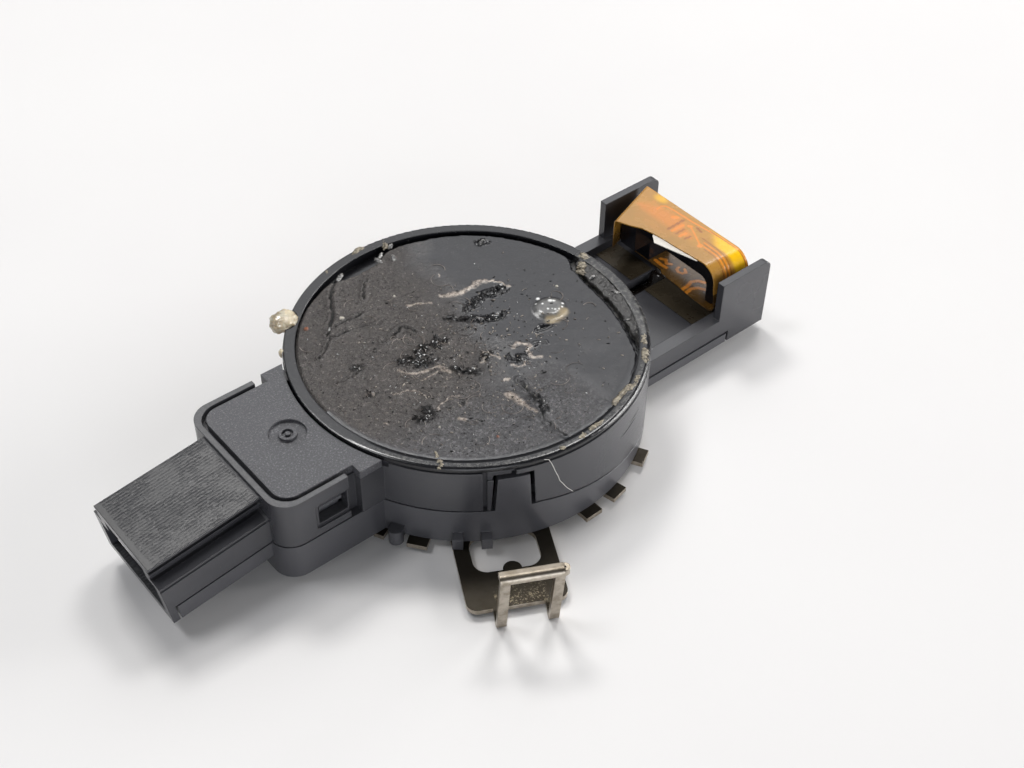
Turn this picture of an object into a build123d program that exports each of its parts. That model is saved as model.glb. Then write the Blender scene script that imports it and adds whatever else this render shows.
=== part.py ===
from build123d import *
from math import asin, cos, degrees, hypot, radians, sin, sqrt
import os

# Windscreen rain sensor, in millimetres. Z = 0 is the glass plane that the coupling pad meets,
# +Z points out through the glass, -X to the connector and +X to the humidity tray.
# Heights are given as depths below the glass plane.

os.makedirs("parts", exist_ok=True)

# Round body
wall_radius = 21.1
wall = 1.6
body_depth = 11.3
cover_plate = 1.3
rim_seat = 0.5
shadow_line = 0.15

# Parting line between housing and lower cover: level at the connector, sloping down to the tray
seam_block = 6.5
seam_tray = 9.9
seam_slope_start = -6.0
seam_slope_end = 15.0
seam_gap = 0.2
lip = 0.9
lip_height = 1.2
fit = 0.1

# Optic with its rim ring, and the coupling pad in it
rim_radius = 21.0
rim_width = 1.35
rim_rounding = 0.18
pad_recess = 1.1
optic_depth = 2.9
optic_step = 1.6
optic_step_wall = 0.8
lens_drop = 1.3
lens_radius = 2.3
post_radius = 0.9
post_circle = 15.6
post_peg_radius = 0.55
post_angles = (52, 128, 232, 308)
pad_slack = 0.3
pad_tear = ((22.0, 7.4), (20.3, 5.0), (18.2, 1.4), (16.5, -5.0), (14.4, -11.4), (14.2, -14.6))
drop_angle = 133.5
drop_reach = 2.1
drop_thickness = 0.6
drop_hang_radius = 0.95
drop_hang_depth = 1.1

# Connector block and its plate
block_front = 31.6
block_half = 9.3
block_corner = 2.6
block_wall = 1.5
block_rim = 0.65
plate_half = 8.15
plate_groove = 0.5
plate_drop = 0.2
plate_thickness = 1.0
shoulder_start = 21.8
shoulder_half = 9.55
slot_width = 1.3
dimple_x = -24.5
dimple_radius = 2.1
dimple_depth = 0.35
dimple_ring_outer = 1.0
dimple_ring_inner = 0.65
dimple_nub = 0.3
snap_slack = 0.35
snap_arm = 0.8
snap_barb = 0.8
snap_end = 5.3
window_x = -25.1
window_length = 3.6
window_height = 2.6
window_depth = 3.7
window_frame = 0.9
window_frame_depth = 0.25

# Connector hood, pitched nose down
hood_pitch = 7.1
hood_drop = 0.65
hood_length = 13.4
hood_top_half = 5.57
hood_half = 6.83
hood_height = 8.02
hood_ridge = 2.12
hood_groove = 0.55
hood_wall = 1.15
hood_mouth_band = 0.8
hood_root = 0.8
key_half = 3.9
key_drop = 2.75
socket_depth = 11.0

# Contact pins
pin_size = 0.64
pin_pitch = 2.5
pin_drop = 4.5
pin_tip_from_mouth = 4.6
pin_bend_x = -26.2
pin_tail = 0.7
pin_hole_radius = 0.5

# Tray
tray_end = 39.1
tray_half = 11.13
tray_floor_top = 8.2
tray_floor = 1.2
rail_top = 7.1
rail = 1.75
cheek_start = 30.8
cheek_top = 1.55
cheek = 1.0
cheek_corner = 1.0
far_cheek_end = 40.3
tray_slot_width = 2.2
tray_slot_end = 32.4
end_lip = 1.0
end_lip_top = 7.4
tongue_end = 32.4
tongue_gap = 0.45
tongue_side_gap = 0.35

# Snap latches between cover and housing
latch_angles = (-114.8, 65.2)
latch_width = 3.5
latch_draft = 4.0
latch_top = 1.75
latch_thickness = 1.0
latch_slit = 0.45
latch_panel_width = 3.0
latch_panel_depth = 0.3
latch_slit_depth = 0.6

# Board and what is on it
board_top = 6.0
board = 1.0
board_radius = 18.2
board_nose = 28.4
board_nose_half = 6.4
support_radius = 1.5
shade_radius = 14.4
shade_well = 2.6
emitter_circle = 10.2
detector_circle = 5.2
shade_height = 3.0
emitter_angle = 33.4
ambient_spot = (0.0, 11.2)
forward_spot = (-11.2, 0.0)
emitter_length = 2.6
emitter_width = 2.0
emitter_height = 0.8
emitter_lens_radius = 0.8
emitter_lens_height = 0.5
detector_length = 3.4
detector_width = 3.0
detector_height = 1.1
ambient_size = 2.2
forward_size = 2.4
controller_size = 5.0
controller_height = 0.9
controller_spot = (3.0, -4.0)
regulator_length = 3.0
regulator_width = 1.6
regulator_height = 1.1
regulator_spot = (-12.0, 5.0)
choke_size = 4.0
choke_clearance = 1.2
choke_flange = 0.5
choke_spot = (-9.5, -5.5)
capacitor_length = 2.0
capacitor_width = 1.25
capacitor_height = 0.8
resistor_length = 1.6
resistor_width = 0.8
resistor_height = 0.45
socket_length = 3.2
socket_width = 5.6
socket_height = 1.1
socket_x = 14.5
socket_slot = 0.35
lead_width = 0.45
lead_length = 0.7
lead_height = 0.3
capacitor_spots = ((8.5, 4.0), (8.5, 6.5), (-3.5, -8.5), (-17.5, 2.5))
resistor_spots = ((3.0, 4.0), (3.0, 6.0), (-1.5, 9.0), (9.5, -5.5), (-6.5, 9.5))

# Flex circuit, its saddle, tape and film
flex = 0.15
flex_end = 37.5
flex_top = 0.95
flex_far_front = (29.0, 6.5)
flex_front_mid = (30.6, 2.4)
flex_front_near = (31.25, -9.0)
flex_far_back = 9.45
flex_far_tail = 5.4
flex_near = 8.8
flex_near_radius = 2.3
flex_floor_radius = 1.2
flex_bottom_start = 32.5
flex_bottom_end = 7.0
flex_tail_clearance = 0.1
flex_tail_depth = 9.62
saddle_front = 33.2
saddle_back = 37.2
saddle_arch_top = 4.7
saddle_arch_near = 6.3
saddle_arch_radius = 1.2
saddle_block_near = 4.0
saddle_block_far = 7.5
saddle_head_front = 30.4
saddle_head_depth = 5.2
saddle_head_gap = 0.25
tape = 0.1
tape_corner = (29.75, 0.1)
tape_near = (31.3, -5.8)
tape_far = 1.3
humidity_size = 2.5
humidity_height = 0.9
humidity_spot = (35.2, -1.6)
humidity_clearance = 0.3
film = 0.1
film_start = 28.7
film_end = 32.4
film_far = 9.2
film_near = 9.3
film_slot_gap = 0.3

# Spring clip
steel = 0.6
clip_angle = -117.5
clip_ring_outer = 20.2
clip_ring_inner = 13.2
clip_tab_reach = 22.3
clip_tab_angles = (-143.0, -89.1, -77.9, -61.0, 20.0, 105.0, 145.0)
clip_tab_width = 2.3
clip_stub_angle = -154.6
clip_stub_width = 1.2
arm_half = 5.5
arm_shift = -0.32
arm_reach = 30.3
arm_corner = 1.2
arm_web = 4.9
arm_root = 2.0
arm_window_half = 3.77
arm_window_corner = 1.6
arm_bump = 1.05
rest_depth = 12.4
leg_spread = 2.82
leg_shift = 0.18
leg_width = 1.05
leg_foot_step = 1.3
leg_top_step = 3.3
leg_top_depth = 2.35
bar_height = 0.8
bar_flange = 0.95
bar_curl = 0.55
bar_lean = 0.08
clip_tab_root = 1.0
far_arm_reach = 25.4
far_foot_length = 1.6

# Pegs and post under the cover
peg_angles = (-131.3, -123.0)
peg_width = 1.2
peg_reach = 22.3
peg_height = 1.5
hook_post_angle = -149.6
hook_post_radius = 0.85
hook_post_drop = 0.55
hook_post_height = 1.4

# Derived levels and places
inner_radius = wall_radius - wall
step_radius = inner_radius + optic_step_wall
pad_radius = rim_radius - rim_width - pad_slack
cover_top = body_depth - cover_plate
plate_under = plate_drop + plate_thickness
board_under = board_top + board
choke_height = cover_top - board_under - choke_clearance
plate_edge_radius = rim_radius + 0.25
flex_top_line = flex_top + flex / 2
flex_floor_line = tray_floor_top - flex / 2
flex_under = flex_top + flex
flex_near_line = flex_near - flex / 2
saddle_top = flex_under + tape
saddle_foot = tray_floor_top - flex
saddle_near = flex_near - flex - tape
clip_under = body_depth + steel
clip_line = body_depth + steel / 2
clip_tab_middle = (clip_ring_outer + clip_tab_reach - clip_tab_root) / 2
clip_tab_length = clip_tab_reach - clip_ring_outer + clip_tab_root
arm_window_reach = arm_reach - arm_web
leg_foot_reach = arm_reach + leg_foot_step
leg_top_reach = arm_reach + leg_top_step
hood_plane = Plane(
    origin=(-block_front, 0, -hood_drop),
    x_dir=(0, -1, 0),
    z_dir=(-cos(radians(hood_pitch)), 0, -sin(radians(hood_pitch))),
)
hood_seam = (seam_block - hood_drop) / cos(radians(hood_pitch))
seam_slope = (seam_tray - seam_block) / (seam_slope_end - seam_slope_start)
arm_plane = Plane(origin=(0, 0, -clip_under), x_dir=(cos(radians(clip_angle)), sin(radians(clip_angle)), 0), z_dir=(0, 0, 1))
leg_plane = Plane(
    origin=(0, 0, 0),
    x_dir=(cos(radians(clip_angle)), sin(radians(clip_angle)), 0),
    z_dir=(sin(radians(clip_angle)), -cos(radians(clip_angle)), 0),
)
emitter_x = emitter_circle * cos(radians(emitter_angle))
emitter_y = emitter_circle * sin(radians(emitter_angle))
emitter_spots = ((emitter_x, emitter_y), (-emitter_x, emitter_y), (-emitter_x, -emitter_y), (emitter_x, -emitter_y))
detector_spots = ((0.0, detector_circle), (0.0, -detector_circle))
lens_spots = (*emitter_spots, *detector_spots, ambient_spot, forward_spot)
far = 80.0


def seam_depth(x):
    """Depth of the parting line at x."""
    if x < seam_slope_start:
        return seam_block
    if x > seam_slope_end:
        return seam_tray
    return seam_block + (x - seam_slope_start) * seam_slope


def polar(radius, angle):
    """Point on a circle round the optic's axis."""
    return (radius * cos(radians(angle)), radius * sin(radians(angle)))


def side_slab(shift, down):
    """Everything below (or above) the parting line moved by shift, as a solid."""
    edge = [
        (-far, -seam_block + shift),
        (seam_slope_start, -seam_block + shift),
        (seam_slope_end, -seam_tray + shift),
        (far, -seam_tray + shift),
    ]
    limit = -far if down else far
    with BuildPart() as slab:
        with BuildSketch(Plane.XZ):
            with BuildLine():
                Polyline(*edge, (far, limit), (-far, limit), close=True)
            make_face()
        extrude(amount=far, both=True)
    return slab.part


def block_plan(inset):
    """Plan of the connector block, long enough to run into the round wall."""
    length = block_front - inset
    with BuildSketch() as plan:
        with Locations((-length / 2 - 4, 0)):
            RectangleRounded(length - 8, 2 * (block_half - inset), max(block_corner - inset, 0.4))
    return plan.sketch


def plate_plan(grow):
    """Plan of the T-shaped connector plate, grown all round by grow."""
    front = block_front - block_rim - plate_groove + grow
    with BuildSketch() as plan:
        with Locations((-(front + 12) / 2, 0)):
            RectangleRounded(front - 12, 2 * (plate_half + grow), block_corner - block_rim + grow)
        with Locations((-(shoulder_start + grow + 12) / 2, 0)):
            Rectangle(shoulder_start + grow - 12, 2 * (shoulder_half + grow))
        Circle(plate_edge_radius - grow, mode=Mode.SUBTRACT)
    return plan.sketch


def hood_section(half, top, bottom):
    """Plain rectangle of the hood's section, from depth top to depth bottom."""
    with BuildSketch(Plane.XY) as section:
        with Locations((0, -(top + bottom) / 2)):
            Rectangle(2 * half, bottom - top)
    return section.sketch


def radial_box(angle, near, reach, width, top, bottom):
    """Box that points out from the axis at an angle, from radius near to radius reach."""
    with BuildPart() as bar:
        with BuildSketch(Plane(origin=(0, 0, -bottom), x_dir=(*polar(1, angle), 0), z_dir=(0, 0, 1))):
            with Locations(((near + reach) / 2, 0)):
                Rectangle(reach - near, width)
        extrude(amount=bottom - top)
    return bar.part


def latch_prism(angle, grow):
    """Latch tongue grown by grow, as a bar from the axis out through the wall."""
    foot = seam_depth(wall_radius * cos(radians(angle)))
    slant = (foot - latch_top) * sin(radians(latch_draft))
    half = latch_width / 2 + grow
    plane = Plane(origin=(0, 0, 0), x_dir=(-sin(radians(angle)), cos(radians(angle)), 0), z_dir=(*polar(1, angle), 0))
    with BuildPart() as prism:
        with BuildSketch(plane):
            with BuildLine():
                Polyline(
                    (-half - slant, -foot - 1),
                    (half + slant, -foot - 1),
                    (half, -latch_top + grow),
                    (-half, -latch_top + grow),
                    close=True,
                )
            make_face()
        extrude(amount=wall_radius + 1)
    return prism.part


def hollow_plan(inset):
    """Plan of the space inside round wall and connector block, drawn in by inset."""
    front = block_front - block_wall - inset
    with BuildSketch() as plan:
        Circle(inner_radius - inset)
        with Locations((-(front + 10) / 2, 0)):
            Rectangle(front - 10, 2 * (block_half - block_wall - inset))
    return plan.sketch


# Housing: one black moulding with the round wall, the connector block and hood, and the tray
with BuildPart() as housing:
    with BuildSketch(Plane.XY.offset(-body_depth)):
        add(block_plan(0))
    extrude(amount=body_depth - plate_drop)
    with BuildSketch(Plane.XY.offset(-seam_block)):
        with Locations((-(shoulder_start + 14) / 2, 0)):
            Rectangle(shoulder_start - 14, 2 * shoulder_half)
    extrude(amount=seam_block - plate_under)
    with BuildSketch(Plane.XY.offset(-body_depth)):
        Circle(wall_radius)
    extrude(amount=body_depth - rim_seat)
    # tray floor, rails, cheeks and end lip
    with BuildSketch(Plane.XY.offset(-tray_floor_top - tray_floor)):
        with Locations(((tray_end + 12) / 2, 0)):
            Rectangle(tray_end - 12, 2 * tray_half)
    extrude(amount=tray_floor)
    rail_foot = seam_tray - tongue_gap + 0.2
    for side in (-1, 1):
        with BuildSketch(Plane.XY.offset(-rail_foot)):
            with Locations(((tray_end + 12) / 2, side * (tray_half - rail / 2))):
                Rectangle(tray_end - 12, rail)
        extrude(amount=rail_foot - rail_top)
        with BuildSketch(Plane.XY.offset(-body_depth)):
            with Locations(((tray_end + tongue_end + tongue_side_gap) / 2, side * (tray_half - rail / 2))):
                Rectangle(tray_end - tongue_end - tongue_side_gap, rail)
        extrude(amount=body_depth - rail_foot)
    with BuildSketch(Plane.XY.offset(-body_depth)):
        with Locations((tray_end - end_lip / 2, 0)):
            Rectangle(end_lip, 2 * tray_half)
    extrude(amount=body_depth - end_lip_top)
    for side, cheek_end in ((-1, tray_end), (1, far_cheek_end)):
        with BuildSketch(Plane.XZ.offset(side * (cheek / 2 - tray_half))):
            with BuildLine():
                Line((cheek_start, -rail_top - rail / 2), (cheek_start, -cheek_top))
                Line((cheek_start, -cheek_top), (cheek_end - cheek_corner, -cheek_top))
                RadiusArc((cheek_end - cheek_corner, -cheek_top), (cheek_end, -cheek_top - cheek_corner), cheek_corner)
                Line((cheek_end, -cheek_top - cheek_corner), (cheek_end, -rail_top))
                Line((cheek_end, -rail_top), (tray_end - cheek_corner, -rail_top - rail / 2))
                Line((tray_end - cheek_corner, -rail_top - rail / 2), (cheek_start, -rail_top - rail / 2))
            make_face()
        extrude(amount=cheek / 2, both=True)
    # hollow of the round body and of the block
    with BuildSketch(Plane.XY.offset(-body_depth)):
        add(hollow_plan(0))
    extrude(amount=body_depth, mode=Mode.SUBTRACT)
    # shadow line round the optic's flange
    with BuildSketch(Plane.XY.offset(-rim_seat - shadow_line)):
        Circle(plate_edge_radius)
        Circle(wall_radius - block_rim, mode=Mode.SUBTRACT)
    extrude(amount=rim_seat + shadow_line, mode=Mode.SUBTRACT)
    with BuildSketch(Plane.XY.offset(-rim_seat)):
        Circle(plate_edge_radius)
    extrude(amount=rim_seat, mode=Mode.SUBTRACT)
    with BuildSketch(Plane.XY.offset(-optic_step)):
        Circle(step_radius)
    extrude(amount=optic_step, mode=Mode.SUBTRACT)
    # pocket for the connector plate
    with BuildSketch(Plane.XY.offset(-plate_under)):
        add(plate_plan(plate_groove))
    extrude(amount=plate_under, mode=Mode.SUBTRACT)
    # recess beside each shoulder, and the latch windows of the block
    for side in (-1, 1):
        with BuildSketch(Plane.XY.offset(-seam_block)):
            with Locations((-shoulder_start - slot_width / 2, side * (block_half - 0.45))):
                Rectangle(slot_width, 0.9)
        extrude(amount=seam_block, mode=Mode.SUBTRACT)
        with BuildSketch(Plane.XZ.offset(-side * (block_half - window_frame_depth))):
            with Locations((window_x, -window_depth)):
                RectangleRounded(window_length + window_frame, window_height + window_frame, 0.3)
        extrude(amount=-side, mode=Mode.SUBTRACT)
        with BuildSketch(Plane.XZ.offset(-side * (block_half - 2 * block_wall))):
            with Locations((window_x, -window_depth)):
                Rectangle(window_length, window_height)
        extrude(amount=-side * 2 * block_wall, mode=Mode.SUBTRACT)
    # slot in the tray floor and in the round wall for the tail of the flex circuit
    with BuildSketch(Plane.XY.offset(-body_depth)):
        with Locations(((tray_slot_end + inner_radius - 1) / 2, tray_slot_width / 2)):
            Rectangle(tray_slot_end - inner_radius + 1, tray_slot_width)
    extrude(amount=body_depth - tray_floor_top + 1.0, mode=Mode.SUBTRACT)
    # windows for the latch tongues, with the thinned panel and slits beside the front one
    for angle in latch_angles:
        add(latch_prism(angle, latch_slit), mode=Mode.SUBTRACT)
    front_latch = latch_angles[0]
    panel_angle = front_latch - degrees(asin(latch_panel_width / 2 / wall_radius))
    add(
        radial_box(panel_angle, wall_radius - latch_panel_depth, wall_radius + 1, latch_panel_width + latch_slit, rim_seat, latch_top),
        mode=Mode.SUBTRACT,
    )
    slit_angle = front_latch - degrees(asin((latch_width / 2 + 3 * latch_slit) / wall_radius))
    add(
        radial_box(slit_angle, wall_radius - latch_slit_depth, wall_radius + 1, latch_slit, rim_seat, seam_block),
        mode=Mode.SUBTRACT,
    )
    add(
        radial_box(front_latch, wall_radius - latch_slit_depth, wall_radius + 1, latch_slit, rim_seat, latch_top),
        mode=Mode.SUBTRACT,
    )
    add(side_slab(seam_gap / 2, True), mode=Mode.SUBTRACT)
    # below the tray the walls run on past the parting line
    for side in (-1, 1):
        with BuildSketch(Plane.XY.offset(-body_depth)):
            with Locations(((tray_end + tongue_end + tongue_side_gap) / 2, side * (tray_half - rail / 2))):
                Rectangle(tray_end - tongue_end - tongue_side_gap, rail)
        extrude(amount=body_depth - rail_top)
    with BuildSketch(Plane.XY.offset(-body_depth)):
        with Locations((tray_end - end_lip / 2, 0)):
            Rectangle(end_lip, 2 * tray_half)
    extrude(amount=body_depth - end_lip_top)
    # connector hood
    with BuildSketch(hood_plane.offset(-hood_root)):
        with BuildLine():
            right = [
                (hood_top_half, 0),
                (hood_top_half, -0.35),
                (hood_top_half - hood_groove, -0.45),
                (hood_top_half - hood_groove, -0.85),
                (hood_top_half - 0.15, -0.95),
                (hood_top_half - 0.15, -1.3),
                (hood_top_half - hood_groove, -1.45),
                (hood_top_half - hood_groove, -hood_ridge + 0.1),
                (hood_half, -hood_ridge),
                (hood_half, -hood_ridge - 0.25),
                (hood_half - 0.15, -hood_ridge - 0.3),
                (hood_half - 0.15, -hood_ridge - 0.5),
                (hood_half, -hood_ridge - 0.55),
                (hood_half, -hood_seam + seam_gap / 2),
            ]
            left = [(-x, y) for x, y in reversed(right)]
            Polyline(*right, *left, close=True)
        make_face()
    extrude(amount=hood_length + hood_root)
    with BuildSketch(hood_plane.offset(hood_length - hood_mouth_band)):
        add(hood_section(hood_half, hood_seam - seam_gap, hood_height))
    extrude(amount=hood_mouth_band)
    with BuildSketch(hood_plane.offset(hood_length - socket_depth)):
        add(hood_section(key_half, hood_wall, hood_height - hood_wall))
        add(hood_section(hood_half - hood_wall, key_drop, hood_height - hood_wall))
    extrude(amount=socket_depth, mode=Mode.SUBTRACT)
    # holes for the contact pins in the wall behind the socket
    with BuildSketch(hood_plane.offset(hood_length - socket_depth - 6)):
        with Locations((0, -pin_drop)):
            with GridLocations(pin_pitch, 0, 3, 1):
                Rectangle(pin_size + 0.04, pin_size + 0.04)
    extrude(amount=8, mode=Mode.SUBTRACT)
housing.part.label = "housing"
export_step(housing.part, "parts/housing.step")

# Lower cover: closes the housing from below with a lip, two snap tongues and the floor of the hood
with BuildPart() as lower_cover:
    with BuildSketch(Plane.XY.offset(-body_depth)):
        add(block_plan(0))
        Circle(wall_radius)
        with Locations(((tongue_end + 12) / 2, 0)):
            Rectangle(tongue_end - 12, 2 * tray_half)
    extrude(amount=body_depth - latch_top)
    above = side_slab(-seam_gap / 2, False)
    for angle in latch_angles:
        above = above - latch_prism(angle, 0)
    add(above, mode=Mode.SUBTRACT)
    with BuildSketch(Plane.XY.offset(-body_depth)):
        add(hollow_plan(fit))
    lip_block = extrude(amount=body_depth - seam_block + lip_height, mode=Mode.PRIVATE)
    add(lip_block - side_slab(lip_height, False))
    with BuildSketch(Plane.XY.offset(-cover_top)):
        add(hollow_plan(fit + lip))
    extrude(amount=cover_top, mode=Mode.SUBTRACT)
    with BuildSketch(Plane.XY.offset(lip_height - seam_block)):
        Circle(wall_radius - latch_thickness)
    extrude(amount=seam_block - lip_height, mode=Mode.SUBTRACT)
    with BuildSketch(Plane.XY.offset(-cover_top)):
        with Locations((inner_radius, tray_slot_width / 2)):
            Rectangle(2 * lip + 2 * wall, tray_slot_width + 2 * fit)
    extrude(amount=lip_height + 0.4, mode=Mode.SUBTRACT)
    # posts under the board
    with BuildSketch(Plane.XY.offset(-cover_top)):
        for angle in post_angles:
            with Locations(polar(post_circle, angle)):
                Circle(support_radius)
    extrude(amount=cover_top - board_under)
    with BuildSketch(Plane.XY.offset(-cover_top)):
        for angle in post_angles:
            with Locations(polar(post_circle, angle)):
                Circle(post_peg_radius + fit)
    extrude(amount=cover_top, mode=Mode.SUBTRACT)
    # pegs and post under the edge
    for angle in peg_angles:
        add(radial_box(angle, wall_radius - 1, peg_reach, peg_width, body_depth - peg_height, body_depth))
    add(
        radial_box(
            hook_post_angle,
            wall_radius - 1,
            wall_radius + 0.8 * hook_post_radius,
            1.8 * hook_post_radius,
            body_depth - hook_post_height,
            body_depth,
        )
    )
    with BuildSketch(Plane.XY.offset(-body_depth - hook_post_drop)):
        with Locations(polar(wall_radius + 0.8 * hook_post_radius, hook_post_angle)):
            Circle(hook_post_radius)
    extrude(amount=hook_post_drop + hook_post_height)
    # floor of the connector hood
    with BuildSketch(hood_plane.offset(-hood_root)):
        add(hood_section(hood_half, hood_seam + seam_gap / 2, hood_height))
    extrude(amount=hood_root + hood_length - hood_mouth_band - seam_gap)
    with BuildSketch(hood_plane.offset(hood_length - socket_depth)):
        add(hood_section(hood_half - hood_wall, hood_seam - 1, hood_height - hood_wall))
    extrude(amount=socket_depth, mode=Mode.SUBTRACT)
lower_cover.part.label = "lower_cover"
export_step(lower_cover.part, "parts/lower_cover.step")

# Optic: black infrared-clear disc with the rim ring, lenses and posts under it
with BuildPart() as lens_body:
    with BuildSketch(Plane.XY.offset(-optic_depth)):
        Circle(inner_radius - fit)
    extrude(amount=optic_depth - pad_recess)
    with BuildSketch(Plane.XY.offset(-optic_step)):
        Circle(step_radius - fit)
    extrude(amount=optic_step - rim_seat)
    with BuildSketch(Plane.XY.offset(-rim_seat)):
        Circle(rim_radius)
    extrude(amount=rim_seat)
    fillet(lens_body.edges().group_by(Axis.Z)[-1], radius=rim_rounding)
    dome_radius = (lens_radius**2 + lens_drop**2) / (2 * lens_drop)
    for x, y in lens_spots:
        with Locations((x, y, dome_radius - optic_depth - lens_drop)):
            Sphere(dome_radius)
    with BuildSketch(Plane.XY.offset(-pad_recess)):
        Circle(rim_radius - rim_width)
    extrude(amount=far, mode=Mode.SUBTRACT)
    with BuildSketch(Plane.XY.offset(-board_top)):
        for angle in post_angles:
            with Locations(polar(post_circle, angle)):
                Circle(post_radius)
    extrude(amount=board_top - optic_depth)
    with BuildSketch(Plane.XY.offset(-board_under - post_radius)):
        for angle in post_angles:
            with Locations(polar(post_circle, angle)):
                Circle(post_peg_radius)
    extrude(amount=board + post_radius)
lens_body.part.label = "lens_body"
export_step(lens_body.part, "parts/lens_body.step")

# Coupling pad: soft gel in the rim, torn away at the tray side and squeezed out over the rim at one place
with BuildPart() as gel_pad:
    with BuildSketch(Plane.XY.offset(-pad_recess)):
        with BuildLine():
            tear = Spline(*pad_tear)
            Polyline(
                tear @ 1,
                (pad_tear[-1][0], -far),
                (-far, -far),
                (-far, far),
                (pad_tear[0][0], far),
                tear @ 0,
            )
        make_face()
        Circle(pad_radius, mode=Mode.INTERSECT)
    extrude(amount=pad_recess)
    with BuildSketch():
        with Locations(polar(rim_radius, drop_angle)):
            Circle(drop_reach)
    extrude(amount=drop_thickness)
    fillet(gel_pad.edges().group_by(Axis.Z)[-1], radius=0.8 * drop_thickness)
    hang_radius = wall_radius + 0.85 * drop_hang_radius
    with Locations((*polar(hang_radius, drop_angle), -drop_hang_depth)):
        Cylinder(drop_hang_radius, drop_hang_depth + drop_thickness / 2, align=(Align.CENTER, Align.CENTER, Align.MIN))
        Sphere(drop_hang_radius)
    with BuildSketch(Plane.XY.offset(-seam_block)):
        Circle(wall_radius)
    extrude(amount=seam_block - pad_recess, mode=Mode.SUBTRACT)
    with BuildSketch(Plane.XY.offset(-pad_recess)):
        Circle(wall_radius)
        Circle(pad_radius, mode=Mode.SUBTRACT)
    extrude(amount=pad_recess, mode=Mode.SUBTRACT)
gel_pad.part.label = "gel_pad"
export_step(gel_pad.part, "parts/gel_pad.step")

# Connector plate: T-shaped lid with a pressed dimple and a snap arm at each side
with BuildPart() as block_cover:
    with BuildSketch(Plane.XY.offset(-plate_under)):
        add(plate_plan(0))
    extrude(amount=plate_thickness)
    with BuildSketch(Plane.XY.offset(-plate_drop - dimple_depth)):
        with Locations((dimple_x, 0)):
            Circle(dimple_radius)
            Circle(dimple_ring_outer, mode=Mode.SUBTRACT)
            Circle(dimple_ring_inner)
            Circle(dimple_nub, mode=Mode.SUBTRACT)
    extrude(amount=dimple_depth, mode=Mode.SUBTRACT)
    for side in (-1, 1):
        arm_face = side * (block_half - block_wall - fit)
        with BuildSketch(Plane.YZ.offset(window_x - window_length / 2 + snap_slack)):
            with BuildLine():
                Polyline(
                    (arm_face - side * snap_arm, -plate_under),
                    (arm_face - side * snap_arm, -snap_end),
                    (arm_face, -snap_end),
                    (arm_face, -window_depth - window_height / 2 + snap_slack),
                    (arm_face + side * snap_barb, -window_depth),
                    (arm_face + side * snap_barb, -window_depth + 0.4),
                    (arm_face, -window_depth + window_height / 2 - snap_slack),
                    (arm_face, -plate_under),
                    close=True,
                )
            make_face()
        extrude(amount=window_length - 2 * snap_slack)
block_cover.part.label = "block_cover"
export_step(block_cover.part, "parts/block_cover.step")

# Printed circuit board: round with a nose into the connector block
with BuildPart() as circuit_board:
    with BuildSketch(Plane.XY.offset(-board_under)):
        Circle(board_radius)
        with Locations((-board_nose / 2 - 5, 0)):
            Rectangle(board_nose - 10, 2 * board_nose_half)
        for angle in post_angles:
            with Locations(polar(post_circle, angle)):
                Circle(post_peg_radius + fit, mode=Mode.SUBTRACT)
        with Locations((pin_bend_x, 0)):
            with GridLocations(0, pin_pitch, 1, 3):
                Circle(pin_hole_radius, mode=Mode.SUBTRACT)
    extrude(amount=board)
circuit_board.part.label = "circuit_board"
export_step(circuit_board.part, "parts/circuit_board.step")

# Contact pins: square wire, straight in the hood and bent down through the board
pin_axis_x = -block_front + pin_drop * sin(radians(hood_pitch))
pin_axis_depth = hood_drop + pin_drop * cos(radians(hood_pitch))
pin_slope = sin(radians(hood_pitch)) / cos(radians(hood_pitch))
pin_tip_x = pin_axis_x - (hood_length - pin_tip_from_mouth) * cos(radians(hood_pitch))
pin_tip_depth = pin_axis_depth + (hood_length - pin_tip_from_mouth) * sin(radians(hood_pitch))
pin_bend_depth = pin_axis_depth - (pin_bend_x - pin_axis_x) * pin_slope
pin_number = 0
for lateral in (-pin_pitch, 0, pin_pitch):
    pin_number += 1
    with BuildPart() as contact_pin:
        with BuildSketch(Plane.XZ.offset(-lateral)):
            with BuildLine():
                FilletPolyline(
                    (pin_tip_x, -pin_tip_depth),
                    (pin_bend_x, -pin_bend_depth),
                    (pin_bend_x, -board_under - pin_tail),
                    radius=pin_size,
                )
            trace(line_width=pin_size)
        extrude(amount=pin_size / 2, both=True)
    contact_pin.part.label = f"contact_pin_{pin_number}"
    export_step(contact_pin.part, f"parts/contact_pin_{pin_number}.step")

# Light shade: opaque moulding on the board with a well for each light and each receiver
with BuildPart() as light_shade:
    with BuildSketch(Plane.XY.offset(-board_top)):
        Circle(shade_radius)
        for x, y in lens_spots:
            with Locations((x, y)):
                Circle(shade_well, mode=Mode.SUBTRACT)
    extrude(amount=shade_height)
light_shade.part.label = "light_shade"
export_step(light_shade.part, "parts/light_shade.step")

# Infrared emitters: flat body with a round lens on top
emitter_number = 0
for x, y in emitter_spots:
    emitter_number += 1
    with BuildPart() as ir_emitter:
        with BuildSketch(Plane.XY.offset(-board_top)):
            with Locations((x, y)):
                Rectangle(emitter_length, emitter_width)
        extrude(amount=emitter_height)
        with BuildSketch(Plane.XY.offset(emitter_height - board_top)):
            with Locations((x, y)):
                Circle(emitter_lens_radius)
        extrude(amount=emitter_lens_height)
        fillet(ir_emitter.edges().group_by(Axis.Z)[-1], radius=0.8 * emitter_lens_height)
    ir_emitter.part.label = f"ir_emitter_{emitter_number}"
    export_step(ir_emitter.part, f"parts/ir_emitter_{emitter_number}.step")

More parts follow.
